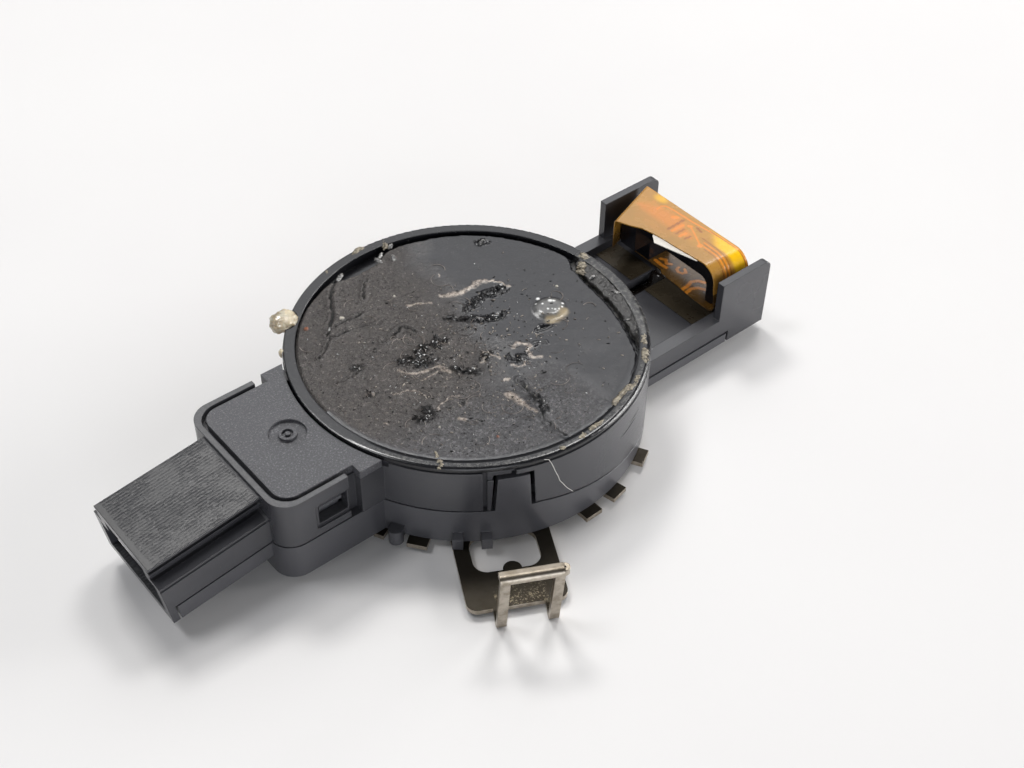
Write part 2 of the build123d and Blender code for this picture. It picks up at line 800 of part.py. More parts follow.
# Receivers of the reflected light
detector_number = 0
for x, y in detector_spots:
    detector_number += 1
    with BuildPart() as photodiode:
        with BuildSketch(Plane.XY.offset(-board_top)):
            with Locations((x, y)):
                Rectangle(detector_length, detector_width)
        extrude(amount=detector_height)
        chamfer(photodiode.edges().group_by(Axis.Z)[-1], length=0.2)
    photodiode.part.label = f"photodiode_{detector_number}"
    export_step(photodiode.part, f"parts/photodiode_{detector_number}.step")

# Sensor for daylight
with BuildPart() as ambient_light_sensor:
    with BuildSketch(Plane.XY.offset(-board_top)):
        with Locations(ambient_spot):
            Rectangle(ambient_size, ambient_size)
    extrude(amount=detector_height)
    chamfer(ambient_light_sensor.edges().group_by(Axis.Z)[-1], length=0.2)
ambient_light_sensor.part.label = "ambient_light_sensor"
export_step(ambient_light_sensor.part, "parts/ambient_light_sensor.step")

# Sensor for the light ahead
with BuildPart() as forward_light_sensor:
    with BuildSketch(Plane.XY.offset(-board_top)):
        with Locations(forward_spot):
            Rectangle(forward_size, forward_size)
    extrude(amount=detector_height)
    chamfer(forward_light_sensor.edges().group_by(Axis.Z)[-1], length=0.2)
forward_light_sensor.part.label = "forward_light_sensor"
export_step(forward_light_sensor.part, "parts/forward_light_sensor.step")

# Controller chip under the board
with BuildPart() as microcontroller:
    with BuildSketch(Plane.XY.offset(-board_under - controller_height)):
        with Locations(controller_spot):
            Rectangle(controller_size, controller_size)
    extrude(amount=controller_height)
    chamfer(microcontroller.edges().group_by(Axis.Z)[0], length=0.15)
microcontroller.part.label = "microcontroller"
export_step(microcontroller.part, "parts/microcontroller.step")

# Voltage regulator with its three leads
with BuildPart() as voltage_regulator:
    with BuildSketch(Plane.XY.offset(-board_under - regulator_height)):
        with Locations(regulator_spot):
            Rectangle(regulator_length, regulator_width)
    extrude(amount=regulator_height)
    chamfer(voltage_regulator.edges().group_by(Axis.Z)[0], length=0.15)
    with BuildSketch(Plane.XY.offset(-board_under - lead_height)):
        with Locations(regulator_spot):
            with GridLocations(regulator_length / 3, 0, 3, 1):
                Rectangle(lead_width, regulator_width + 2 * lead_length)
    extrude(amount=lead_height)
voltage_regulator.part.label = "voltage_regulator"
export_step(voltage_regulator.part, "parts/voltage_regulator.step")

# Supply choke: ferrite drum
with BuildPart() as filter_choke:
    with BuildSketch(Plane.XY.offset(-board_under - choke_height)):
        with Locations(choke_spot):
            RectangleRounded(choke_size, choke_size, choke_size / 5)
    extrude(amount=choke_height)
    with BuildSketch(Plane.XY.offset(-board_under - 0.7 * choke_height)):
        with Locations(choke_spot):
            RectangleRounded(choke_size + 2 * choke_flange, choke_size + 2 * choke_flange, choke_size / 4)
            Circle(0.42 * choke_size, mode=Mode.SUBTRACT)
    extrude(amount=0.4 * choke_height, mode=Mode.SUBTRACT)
filter_choke.part.label = "filter_choke"
export_step(filter_choke.part, "parts/filter_choke.step")

# Buffer capacitors
with BuildPart() as buffer_capacitors:
    with BuildSketch(Plane.XY.offset(-board_under - capacitor_height)):
        with Locations(*capacitor_spots):
            Rectangle(capacitor_length, capacitor_width)
    extrude(amount=capacitor_height)
buffer_capacitors.part.label = "buffer_capacitors"
export_step(buffer_capacitors.part, "parts/buffer_capacitors.step")

# Chip resistors
with BuildPart() as chip_resistors:
    with BuildSketch(Plane.XY.offset(-board_under - resistor_height)):
        with Locations(*resistor_spots):
            Rectangle(resistor_length, resistor_width)
    extrude(amount=resistor_height)
chip_resistors.part.label = "chip_resistors"
export_step(chip_resistors.part, "parts/chip_resistors.step")

# Socket that takes the tail of the flex circuit
tail_width = tray_slot_width - 2 * flex_tail_clearance
tail_depth = board_under + socket_height / 2
with BuildPart() as flex_socket:
    with BuildSketch(Plane.XY.offset(-board_under - socket_height)):
        with Locations((socket_x, tray_slot_width / 2)):
            Rectangle(socket_length, socket_width)
    extrude(amount=socket_height)
    with BuildSketch(Plane.XY.offset(-tail_depth - socket_slot / 2)):
        with Locations((socket_x + socket_length / 2, tray_slot_width / 2)):
            Rectangle(socket_length, tail_width + 2 * flex_tail_clearance)
    extrude(amount=socket_slot, mode=Mode.SUBTRACT)
flex_socket.part.label = "flex_socket"
export_step(flex_socket.part, "parts/flex_socket.step")

# Flex circuit: polyimide strip wrapped round the saddle, with a tail to the board
with BuildPart() as flex_circuit:
    # top, with its far edge cut askew
    with BuildSketch(Plane.XY.offset(-flex_under)):
        with BuildLine():
            Polyline(
                flex_far_front,
                flex_front_mid,
                (flex_front_near[0], 0),
                (flex_end, 0),
                (flex_end, flex_far_back),
                close=True,
            )
        make_face()
    extrude(amount=flex)
    # flap folded down along the far edge
    with BuildSketch(Plane.XY.offset(-flex_far_tail)):
        with BuildLine():
            Polyline(
                flex_far_front,
                (flex_far_front[0], flex_far_front[1] - flex),
                (flex_end, flex_far_back - flex),
                (flex_end, flex_far_back),
                close=True,
            )
        make_face()
    extrude(amount=flex_far_tail - flex_top)
    # near bend and the run back over the tray floor
    with BuildSketch(Plane.YZ.offset(flex_front_near[0] - 1)):
        with BuildLine():
            Line((0, -flex_top_line), (flex_near_radius - flex_near_line, -flex_top_line))
            RadiusArc(
                (flex_near_radius - flex_near_line, -flex_top_line),
                (-flex_near_line, -flex_top_line - flex_near_radius),
                -flex_near_radius,
            )
            Line(
                (-flex_near_line, -flex_top_line - flex_near_radius),
                (-flex_near_line, flex_floor_radius - flex_floor_line),
            )
            RadiusArc(
                (-flex_near_line, flex_floor_radius - flex_floor_line),
                (flex_floor_radius - flex_near_line, -flex_floor_line),
                -flex_floor_radius,
            )
            Line((flex_floor_radius - flex_near_line, -flex_floor_line), (flex_bottom_end, -flex_floor_line))
        trace(line_width=flex)
    extrude(amount=flex_end - flex_front_near[0] + 1)
    # the strip narrows along the near bend to its width on the tray floor
    with BuildSketch(Plane.XZ):
        with BuildLine():
            Polyline(
                (flex_front_near[0] - 2, -flex_top + 1),
                (flex_front_near[0], -flex_top + 1),
                (flex_front_near[0], -flex_under),
                (flex_bottom_start, -flex_floor_line + flex),
                (flex_bottom_start, -body_depth),
                (flex_front_near[0] - 2, -body_depth),
                close=True,
            )
        make_face()
    extrude(amount=tray_half, mode=Mode.SUBTRACT)
    with BuildSketch(Plane.XZ):
        with Locations((flex_bottom_start - 2, -flex_floor_line)):
            Rectangle(4, 4 * flex)
    extrude(amount=-tray_half, mode=Mode.SUBTRACT)
    # tail through the slots into the socket
    with BuildSketch(Plane.XZ.offset(-tray_slot_width / 2)):
        with BuildLine():
            FilletPolyline(
                (flex_bottom_start + 0.3, -flex_floor_line),
                (tray_slot_end - 0.4, -flex_floor_line),
                (tray_slot_end - 1.1, -flex_tail_depth),
                (inner_radius - 1.4, -flex_tail_depth),
                (inner_radius - 2.4, -tail_depth),
                (socket_x + 0.2, -tail_depth),
                radius=0.3,
            )
        trace(line_width=flex)
    extrude(amount=tail_width / 2, both=True)
flex_circuit.part.label = "flex_circuit"
export_step(flex_circuit.part, "parts/flex_circuit.step")

# Humidity and temperature chip under the top of the strip
with BuildPart() as humidity_sensor:
    with BuildSketch(Plane.XY.offset(-flex_under - humidity_height)):
        with Locations(humidity_spot):
            Rectangle(humidity_size, humidity_size)
    extrude(amount=humidity_height)
    chamfer(humidity_sensor.edges().group_by(Axis.Z)[0], length=0.15)
humidity_sensor.part.label = "humidity_sensor"
export_step(humidity_sensor.part, "parts/humidity_sensor.step")

# Double-sided tape between strip and saddle, its front edge cut askew
with BuildPart() as support_tape:
    with BuildSketch(Plane.XY.offset(-flex_under - tape)):
        with BuildLine():
            Polyline(
                tape_near,
                tape_corner,
                (flex_front_mid[0], tape_far),
                (saddle_back, tape_far),
                (saddle_back, tape_near[1]),
                close=True,
            )
        make_face()
        with Locations(humidity_spot):
            Rectangle(humidity_size + 2 * humidity_clearance, humidity_size + 2 * humidity_clearance, mode=Mode.SUBTRACT)
    extrude(amount=tape)
support_tape.part.label = "support_tape"
export_step(support_tape.part, "parts/support_tape.step")

# Saddle: black moulding that the strip is wrapped round, a block with an arch over the tray floor
saddle_bend = flex_near_radius - flex / 2 - tape
with BuildPart() as flex_support:
    with BuildSketch(Plane.YZ.offset(saddle_front)):
        with BuildLine():
            Line((saddle_bend - saddle_near, -saddle_top), (saddle_block_far, -saddle_top))
            Line((saddle_block_far, -saddle_top), (saddle_block_far, -saddle_foot))
            Line((saddle_block_far, -saddle_foot), (saddle_block_near, -saddle_foot))
            Line((saddle_block_near, -saddle_foot), (saddle_block_near, -saddle_arch_top))
            Line((saddle_block_near, -saddle_arch_top), (saddle_arch_radius - saddle_arch_near, -saddle_arch_top))
            RadiusArc(
                (saddle_arch_radius - saddle_arch_near, -saddle_arch_top),
                (-saddle_arch_near, -saddle_arch_top - saddle_arch_radius),
                -saddle_arch_radius,
            )
            Line((-saddle_arch_near, -saddle_arch_top - saddle_arch_radius), (-saddle_arch_near, -saddle_foot))
            Line((-saddle_arch_near, -saddle_foot), (flex_floor_radius - saddle_near, -saddle_foot))
            Line((flex_floor_radius - saddle_near, -saddle_foot), (-saddle_near, flex_floor_radius - saddle_foot))
            Line((-saddle_near, flex_floor_radius - saddle_foot), (-saddle_near, -saddle_top - saddle_bend))
            RadiusArc(
                (-saddle_near, -saddle_top - saddle_bend),
                (saddle_bend - saddle_near, -saddle_top),
                saddle_bend,
            )
        make_face()
    extrude(amount=saddle_back - saddle_front)
    # head under the strip's far fold, its far face along the flap
    flap_slope = (flex_far_back - flex_far_front[1]) / (flex_end - flex_far_front[0])
    flap_inside = flex_far_front[1] - flex - saddle_head_gap
    with BuildSketch(Plane.XY.offset(-saddle_head_depth)):
        with BuildLine():
            Polyline(
                (saddle_head_front, saddle_block_near),
                (saddle_head_front, flap_inside + flap_slope * (saddle_head_front - flex_far_front[0])),
                (saddle_back, flap_inside + flap_slope * (saddle_back - flex_far_front[0])),
                (saddle_back, saddle_block_near),
                close=True,
            )
        make_face()
    extrude(amount=saddle_head_depth - saddle_top)
    with BuildSketch(Plane.XY.offset(-flex_under - humidity_height - humidity_clearance)):
        with Locations(humidity_spot):
            Rectangle(humidity_size + 2 * humidity_clearance, humidity_size + 2 * humidity_clearance)
    extrude(amount=humidity_height + humidity_clearance, mode=Mode.SUBTRACT)
flex_support.part.label = "flex_support"
export_step(flex_support.part, "parts/flex_support.step")

# Brown film on the tray floor, one piece each side of the slot
with BuildPart() as cover_film:
    with BuildSketch(Plane.XY.offset(-tray_floor_top)):
        with Locations(((film_start + film_end) / 2, -film_near / 2)):
            Rectangle(film_end - film_start, film_near)
        with Locations(((film_start + film_end) / 2, (film_far + tray_slot_width + film_slot_gap) / 2)):
            Rectangle(film_end - film_start, film_far - tray_slot_width - film_slot_gap)
    extrude(amount=film)
cover_film.part.label = "cover_film"
export_step(cover_film.part, "parts/cover_film.step")

# Spring clip: stamped sheet with a ring under the cover, small tabs and two arms
with BuildPart() as spring_clip:
    with BuildSketch(Plane.XY.offset(-clip_under)):
        Circle(clip_ring_outer)
        for angle in clip_tab_angles:
            with PolarLocations(clip_tab_middle, 1, start_angle=angle):
                Rectangle(clip_tab_length, clip_tab_width)
        with PolarLocations(clip_tab_middle, 1, start_angle=clip_stub_angle):
            Rectangle(clip_tab_length, clip_stub_width)
        Circle(clip_ring_inner, mode=Mode.SUBTRACT)
    extrude(amount=steel)
    with BuildSketch(arm_plane):
        with Locations(((arm_reach + clip_ring_inner + arm_root) / 2, arm_shift)):
            RectangleRounded(arm_reach - clip_ring_inner - arm_root, 2 * arm_half, arm_corner)
        with Locations(((arm_window_reach + clip_ring_outer) / 2, arm_shift)):
            RectangleRounded(
                arm_window_reach - clip_ring_outer,
                2 * arm_window_half,
                arm_window_corner,
                mode=Mode.SUBTRACT,
            )
        with Locations((arm_window_reach, 0)):
            Circle(arm_bump)
        with Locations((-(far_arm_reach + clip_ring_inner + arm_root) / 2, 0)):
            Rectangle(far_arm_reach - clip_ring_inner - arm_root, 2 * arm_half)
    extrude(amount=steel)
    # two legs from the arm's edge to the feet and up to the bar
    for side in (-1, 1):
        with BuildSketch(leg_plane.offset(side * leg_spread - leg_shift)):
            with BuildLine():
                FilletPolyline(
                    (arm_reach - 1.5, -clip_line),
                    (arm_reach + 0.2, -clip_line),
                    (leg_foot_reach - 0.2, -rest_depth + steel / 2),
                    (leg_foot_reach + 0.35, -rest_depth + steel / 2),
                    (leg_top_reach, -leg_top_depth - bar_height),
                    radius=0.32,
                )
            trace(line_width=steel)
        extrude(amount=leg_width / 2, both=True)
    with BuildSketch(leg_plane.offset(-leg_shift)):
        with BuildLine():
            FilletPolyline(
                (leg_top_reach, -leg_top_depth - bar_height),
                (leg_top_reach + bar_lean, -leg_top_depth - steel / 2),
                (leg_top_reach - bar_flange, -leg_top_depth - steel / 2 - 0.15),
                radius=0.32,
            )
        trace(line_width=steel)
    extrude(amount=leg_spread + leg_width / 2, both=True)
    with BuildSketch(arm_plane.offset(clip_under - leg_top_depth - bar_height)):
        with Locations((leg_top_reach - bar_curl + steel / 2, leg_shift + leg_spread + leg_width / 2)):
            Circle(bar_curl)
            Circle(bar_curl - 0.7 * steel, mode=Mode.SUBTRACT)
            with Locations((0, -bar_curl)):
                Rectangle(2 * bar_curl, 2 * bar_curl, mode=Mode.SUBTRACT)
    extrude(amount=bar_height)
    # far foot
    with BuildSketch(leg_plane):
        with BuildLine():
            FilletPolyline(
                (-far_arm_reach + 0.5, -clip_line),
                (-far_arm_reach - 0.4, -clip_line),
                (-far_arm_reach - far_foot_length, -rest_depth + steel / 2),
                (-far_arm_reach - far_foot_length - 0.9, -rest_depth + steel / 2),
                radius=0.32,
            )
        trace(line_width=steel)
    extrude(amount=arm_half, both=True)
spring_clip.part.label = "spring_clip"
export_step(spring_clip.part, "parts/spring_clip.step")
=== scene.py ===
import math
import random

import bmesh
import bpy
import numpy as np
from mathutils import Matrix, Vector, noise


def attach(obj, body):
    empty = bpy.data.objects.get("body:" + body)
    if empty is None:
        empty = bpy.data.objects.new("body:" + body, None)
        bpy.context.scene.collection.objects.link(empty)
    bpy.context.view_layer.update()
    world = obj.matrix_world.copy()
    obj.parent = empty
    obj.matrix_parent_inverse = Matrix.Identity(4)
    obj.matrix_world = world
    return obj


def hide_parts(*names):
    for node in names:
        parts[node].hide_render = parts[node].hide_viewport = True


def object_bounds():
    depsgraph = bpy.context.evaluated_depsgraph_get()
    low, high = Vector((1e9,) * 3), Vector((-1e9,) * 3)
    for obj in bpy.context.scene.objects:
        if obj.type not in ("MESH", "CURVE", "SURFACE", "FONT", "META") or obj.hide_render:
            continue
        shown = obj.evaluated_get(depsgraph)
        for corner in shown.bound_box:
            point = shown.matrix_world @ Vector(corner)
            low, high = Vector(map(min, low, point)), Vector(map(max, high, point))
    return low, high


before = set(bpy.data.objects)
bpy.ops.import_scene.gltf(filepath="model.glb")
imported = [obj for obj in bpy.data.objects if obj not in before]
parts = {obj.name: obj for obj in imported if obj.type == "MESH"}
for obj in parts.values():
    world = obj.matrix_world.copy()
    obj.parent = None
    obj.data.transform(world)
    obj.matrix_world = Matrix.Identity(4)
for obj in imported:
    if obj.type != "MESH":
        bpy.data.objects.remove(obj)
cad_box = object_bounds()
scene = bpy.context.scene
MM = 0.001

# ---- Camera, table and studio light ----
# The photograph looks down on the sensor from the connector side, with a long lens.
# The sensor lies on a white table under broad soft light.
lens = 51.43
camera_place = Vector((-76.9, -98.9, 111.6)) * MM
azimuth, elevation, roll = (math.radians(a) for a in (-40.25, 43.574, 0.94))


def tone(red, green, blue):
    """A colour as it is seen on a screen, 0 to 255, made linear for a shader."""
    screen = (red / 255, green / 255, blue / 255)
    return tuple(c / 12.92 if c < 0.04045 else ((c + 0.055) / 1.055) ** 2.4 for c in screen) + (1.0,)


class Wire:
    """One output of a finish's nodes. Arithmetic on it adds Math nodes."""

    def __init__(self, finish, socket):
        self.finish = finish
        self.socket = socket

    def math(self, operation, *values):
        return self.finish.node("ShaderNodeMath", {"operation": operation}, dict(enumerate(values)))

    def __add__(self, other):
        return self.math("ADD", self, other)

    def __sub__(self, other):
        return self.math("SUBTRACT", self, other)

    def __rsub__(self, other):
        return self.math("SUBTRACT", other, self)

    def __mul__(self, other):
        return self.math("MULTIPLY", self, other)

    def __truediv__(self, other):
        return self.math("DIVIDE", self, other)

    def __gt__(self, other):
        return self.math("GREATER_THAN", self, other)

    def __lt__(self, other):
        return self.math("LESS_THAN", self, other)

    def __abs__(self):
        return self.math("ABSOLUTE", self)

    __radd__ = __add__
    __rmul__ = __mul__

    def step(self, low, high):
        """0 below low and 1 above high, smooth between them."""
        return self.finish.node(
            "ShaderNodeMapRange",
            {"interpolation_type": "SMOOTHSTEP"},
            {"Value": self, "From Min": low, "From Max": high},
        )


class Finish:
    """The material of one kind of surface, with the constants of its shader."""

    def __init__(self, name, **constants):
        self.material = bpy.data.materials.new(name)
        self.material.use_nodes = True
        self.tree = self.material.node_tree
        self.shader = self.tree.nodes["Principled BSDF"]
        for socket, value in constants.items():
            self.shader.inputs[socket.replace("_", " ")].default_value = value

    def plug(self, socket, value):
        if isinstance(value, Wire):
            self.tree.links.new(value.socket, socket)
        else:
            socket.default_value = value

    def node(self, kind, settings=None, inputs=None, output=0):
        """Any node, from its type, its settings and the values or wires of its sockets."""
        made = self.tree.nodes.new(kind)
        for name, value in (settings or {}).items():
            setattr(made, name, value)
        for name, value in (inputs or {}).items():
            self.plug(made.inputs[name], value)
        return Wire(self, made.outputs[output])

    def place(self):
        """Object coordinates in millimetres."""
        where = self.node("ShaderNodeTexCoord", output="Object")
        return self.node("ShaderNodeVectorMath", {"operation": "SCALE"}, {0: where, "Scale": 1 / MM})

    def axes(self):
        """x, y and z in millimetres."""
        split = self.tree.nodes.new("ShaderNodeSeparateXYZ")
        self.plug(split.inputs[0], self.place())
        return [Wire(self, split.outputs[i]) for i in range(3)]

    def upward(self):
        """How far the surface faces up: 1 on top, 0 on a wall and -1 underneath."""
        facing = self.node("ShaderNodeTexCoord", output="Normal")
        return self.node("ShaderNodeSeparateXYZ", inputs={0: facing}, output=2)

    def noise(self, scale, detail=3.0, roughness=0.55, stretch=None, output="Fac"):
        where = self.place()
        if stretch:
            where = self.node("ShaderNodeVectorMath", {"operation": "MULTIPLY"}, {0: where, 1: stretch})
        return self.node(
            "ShaderNodeTexNoise",
            inputs={"Vector": where, "Scale": scale, "Detail": detail, "Roughness": roughness},
            output=output,
        )

    def mix(self, amount, first, second):
        """From the first colour to the second."""
        return self.node("ShaderNodeMix", {"data_type": "RGBA"}, {0: amount, 6: first, 7: second}, output=2)

    def mask(self, name):
        """A value that the mesh carries at its points."""
        return self.node("ShaderNodeAttribute", {"attribute_name": name}, output="Fac")

    def bump(self, height, strength=0.3, distance=0.1, edge=0.0):
        """Surface relief in millimetres, with edges eased by a radius in millimetres."""
        inputs = {"Height": height, "Strength": strength, "Distance": distance * MM}
        if edge:
            inputs["Normal"] = self.node("ShaderNodeBevel", {"samples": 4}, {"Radius": edge * MM})
        return self.node("ShaderNodeBump", inputs=inputs, output="Normal")

    def paint(self, **sockets):
        for socket, value in sockets.items():
            self.plug(self.shader.inputs[socket.replace("_", " ")], value)
        return self.material


def dress(name, finish):
    """A CAD node takes a finish."""
    parts[name].data.materials.clear()
    parts[name].data.materials.append(finish.material)


def piece(name, form, finish, smooth=True):
    """A mesh in millimetres becomes a piece of the sensor."""
    bmesh.ops.recalc_face_normals(form, faces=form.faces)
    bmesh.ops.scale(form, vec=(MM, MM, MM), verts=form.verts)
    mesh = bpy.data.meshes.new(name)
    form.to_mesh(mesh)
    form.free()
    for face in mesh.polygons:
        face.use_smooth = smooth
    mesh.materials.append(finish.material)
    made = bpy.data.objects.new(name, mesh)
    scene.collection.objects.link(made)
    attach(made, "root")
    return made


back = Vector((
    math.sin(azimuth) * math.cos(elevation),
    -math.cos(azimuth) * math.cos(elevation),
    math.sin(elevation),
))
level = Vector((math.cos(azimuth), math.sin(azimuth), 0))
rise = back.cross(level)
right = math.cos(roll) * level + math.sin(roll) * rise
up = -math.sin(roll) * level + math.cos(roll) * rise
camera = bpy.data.objects.new("camera", bpy.data.cameras.new("camera"))
camera.data.sensor_width = 36
camera.data.lens = lens
camera.data.clip_start = 0.01
camera.matrix_world = Matrix.Translation(camera_place) @ Matrix((right, up, back)).transposed().to_4x4()
scene.collection.objects.link(camera)
scene.camera = camera
scene.view_settings.view_transform = "Standard"

table_top = cad_box[0].z - 0.00002
plate = bmesh.new()
bmesh.ops.create_grid(plate, x_segments=2, y_segments=2, size=3)
bmesh.ops.translate(plate, vec=(0, 0, table_top), verts=plate.verts)
table_mesh = bpy.data.meshes.new("table")
plate.to_mesh(table_mesh)
plate.free()
table = bpy.data.objects.new("table", table_mesh)
scene.collection.objects.link(table)
paintwork = Finish("white table", Roughness=0.45, Specular_IOR_Level=0.25)
cloud = paintwork.noise(0.02, detail=2)
table_mesh.materials.append(
    paintwork.paint(Base_Color=paintwork.mix(cloud, tone(229, 227, 227), tone(235, 234, 233)))
)

# The room is white to the camera and dim to everything that it lights.
world = bpy.data.worlds.new("room")
world.use_nodes = True
scene.world = world
air = world.node_tree
sky = air.nodes["Background"]
sky.inputs["Color"].default_value = (0.97, 0.985, 1.0, 1)
paths = air.nodes.new("ShaderNodeLightPath")
seen = air.nodes.new("ShaderNodeMapRange")
seen.inputs["To Min"].default_value = 0.10
seen.inputs["To Max"].default_value = 1.0
air.links.new(paths.outputs["Is Camera Ray"], seen.inputs["Value"])
air.links.new(seen.outputs["Result"], sky.inputs["Strength"])


def softbox(name, place, width, depth, watts, colour):
    lamp = bpy.data.lights.new(name, "AREA")
    lamp.shape = "RECTANGLE"
    lamp.size = width
    lamp.size_y = depth
    lamp.energy = watts
    lamp.color = colour
    made = bpy.data.objects.new(name, lamp)
    made.location = place
    made.rotation_mode = "QUATERNION"
    made.rotation_quaternion = (Vector(place) * -1).to_track_quat("-Z", "Y")
    scene.collection.objects.link(made)


softbox("ceiling light right", (0.46, 0.22, 0.81), 0.26, 0.2, 2.35, (1.0, 0.99, 0.97))
softbox("ceiling light middle", (0.10, 0.54, 0.80), 0.26, 0.2, 3.2, (1.0, 0.99, 0.97))
softbox("ceiling light left", (-0.34, 0.26, 0.86), 0.26, 0.2, 1.85, (0.97, 0.98, 1.0))
softbox("far wall", (0.53, 0.68, 0.77), 0.9, 0.7, 2.8, (0.97, 0.98, 1.0))
softbox("window light", (-0.50, -0.80, 0.22), 0.6, 0.4, 3.1, (0.92, 0.95, 1.0))
softbox("side light", (0.85, -0.30, 0.18), 0.7, 0.3, 9.4, (1.0, 0.99, 0.98))

# ---- Housing ----
# One black glass-filled polyester moulding: round wall, connector block, hood and tray.
# The block is spark-grained, the hood's top is darker with fine worn ribs painted lighter as highlights, and
# the smooth round wall has two scratches, each from one angle to another, at a height that climbs, with its
# half width.
hood_mouth, hood_root, block_root = -44.3, -31.9, -19.0
ribbed_half = 5.5
rib_wave = 15.7
wall_squared = 436.0
wall_scratches = ((-75.8, -64.5, -4.05, 0.038, 0.2), (-71.5, -62.0, -3.2, 0.0, 0.12))
black = Finish("housing black", Specular_IOR_Level=0.65)
x, y, z = black.axes()
flat_up = black.upward().step(0.6, 0.9)
grain = black.noise(2.6, detail=4, roughness=0.75)
cloudy = black.noise(0.12, detail=3)
on_hood = (x < hood_root) * flat_up
on_block = (x < block_root) * flat_up * (1 - on_hood)
threads = y.math("SINE", y * rib_wave) * 0.5 + 0.5
dashes = black.noise(3.0, detail=3, roughness=0.7, stretch=(0.9, 1.0, 1.0)).step(0.4, 0.62)
hood_top = on_hood * (abs(y) < ribbed_half)
worn = black.noise(0.3, detail=2).step(0.36, 0.6)
ribs = threads * (0.2 + dashes * 0.8) * (0.35 + worn * 0.65) * x.step(hood_mouth, hood_mouth + 0.3) * hood_top
around = y.math("ARCTAN2", y, x) * math.degrees(1)
scratches = 0.0
for first, last, low, climb, half in wall_scratches:
    line = z - low - (around - first) * climb
    ends = around.step(first, first + 4) * around.step(last, last - 4)
    scratches = scratches + abs(line).step(half, 0.0) * ends
scratches = scratches * ((x * x + y * y) > wall_squared)
relief = grain * (0.12 + on_block * 0.6) + ribs * 0.6 - scratches * 0.6
specks = black.noise(3.0, detail=2, roughness=0.8).step(0.68, 0.74)
base = black.mix(cloudy, tone(56, 56, 60), tone(67, 67, 71))
base = black.mix(specks * 0.3, base, tone(96, 92, 88))
base = black.mix(on_block * grain.step(0.42, 0.62) * 0.6, base, tone(84, 84, 86))
base = black.mix(scratches, base, tone(20, 20, 22))
base = black.mix(hood_top * 0.85, base, tone(22, 22, 25))
# The ribs are painted lighter as highlights along them.
base = black.mix(ribs * 0.34, base, tone(86, 86, 92))
black.paint(
    Base_Color=base,
    Roughness=0.22 + on_block * 0.2 + hood_top * 0.15 + cloudy * 0.08 + scratches * 0.7,
    Normal=black.bump(relief, strength=0.7, distance=0.12, edge=0.16),
)
dress("housing", black)

# ---- Lower cover ----
# The bowl under the housing, same black polyester, clipped on with two side latches.
# Its wall is as moulded, with a faint grain.
cover = Finish("cover black", Specular_IOR_Level=0.65)
cover_grain = cover.noise(2.4, detail=3, roughness=0.7)
cover_cloud = cover.noise(0.15, detail=3)
cover.paint(
    Base_Color=cover.mix(cover_cloud, tone(69, 69, 73), tone(80, 80, 84)),
    Roughness=0.24 + cover_cloud * 0.1,
    Normal=cover.bump(cover_grain, strength=0.35, distance=0.03, edge=0.14),
)
dress("lower_cover", cover)

# ---- Connector plate ----
# T-shaped lid over the contact pins, with a matt sparkling grain and a round dimple.
# It snaps into the windows at the block's sides.
lid = Finish("plate black", Specular_IOR_Level=0.5)
lid_grain = lid.noise(2.9, detail=4, roughness=0.8)
lid_cloud = lid.noise(0.25, detail=3)
lid_dust = lid.noise(4.6, detail=3, roughness=0.85).step(0.52, 0.68)
lid.paint(
    Base_Color=lid.mix(
        lid_dust * 0.5,
        lid.mix(lid_cloud, tone(70, 70, 74), tone(82, 82, 86)),
        tone(158, 158, 162),
    ),
    Roughness=0.4 + lid_cloud * 0.1,
    Normal=lid.bump(lid_grain, strength=0.8, distance=0.12, edge=0.14),
)
dress("block_cover", lid)

# ---- Optic ----
# Black infrared-clear moulding with lenses inside, its bright rim standing round the gel.
# The rim is crowned at the front, where it shines, with a broken highlight line painted pale along its front
# edge, and it carries smeared gel at the tray side.
rim_middle, rim_half = 20.3, 0.7
optic = Finish("optic black", Specular_IOR_Level=0.55)
ox, oy, oz = optic.axes()
smear = ox.step(15.5, 17.0) * (oy < 3.5)
scales = optic.noise(1.6, detail=5, roughness=0.7)
fine = optic.noise(1.3, detail=4, roughness=0.65)
square_out = ox * ox + oy * oy
from_axis = square_out.math("SQRT", square_out)
on_edge = from_axis.step(20.0, 20.15) * (1 - from_axis.step(20.45, 20.6))
# A broken highlight line painted pale on the rim's front edge.
rim_highlight_line = on_edge * oy.step(-4.0, -12.0) * optic.noise(1.4, detail=4, roughness=0.8).step(0.45, 0.6)
smudge_and_highlight = optic.noise(2.2, detail=4, roughness=0.8).step(0.6, 0.68) + rim_highlight_line * 1.6
crown = (from_axis - rim_middle) / rim_half
crown = (1 - crown * crown).step(0.0, 1.0) * oy.step(-3.0, -11.0) * (oz > -0.6)
optic.paint(
    Base_Color=optic.mix(
        smear * scales.step(0.45, 0.65) * 0.6 + smudge_and_highlight * 0.25,
        optic.mix(fine, tone(20, 20, 23), tone(30, 30, 34)),
        tone(124, 122, 118),
    ),
    Roughness=0.13 + fine * 0.1 + smear * 0.15,
    Normal=optic.bump(fine * 0.5 + smear * scales * 1.5 + crown * 5.0, strength=0.4, distance=0.1, edge=0.2),
)
dress("lens_body", optic)

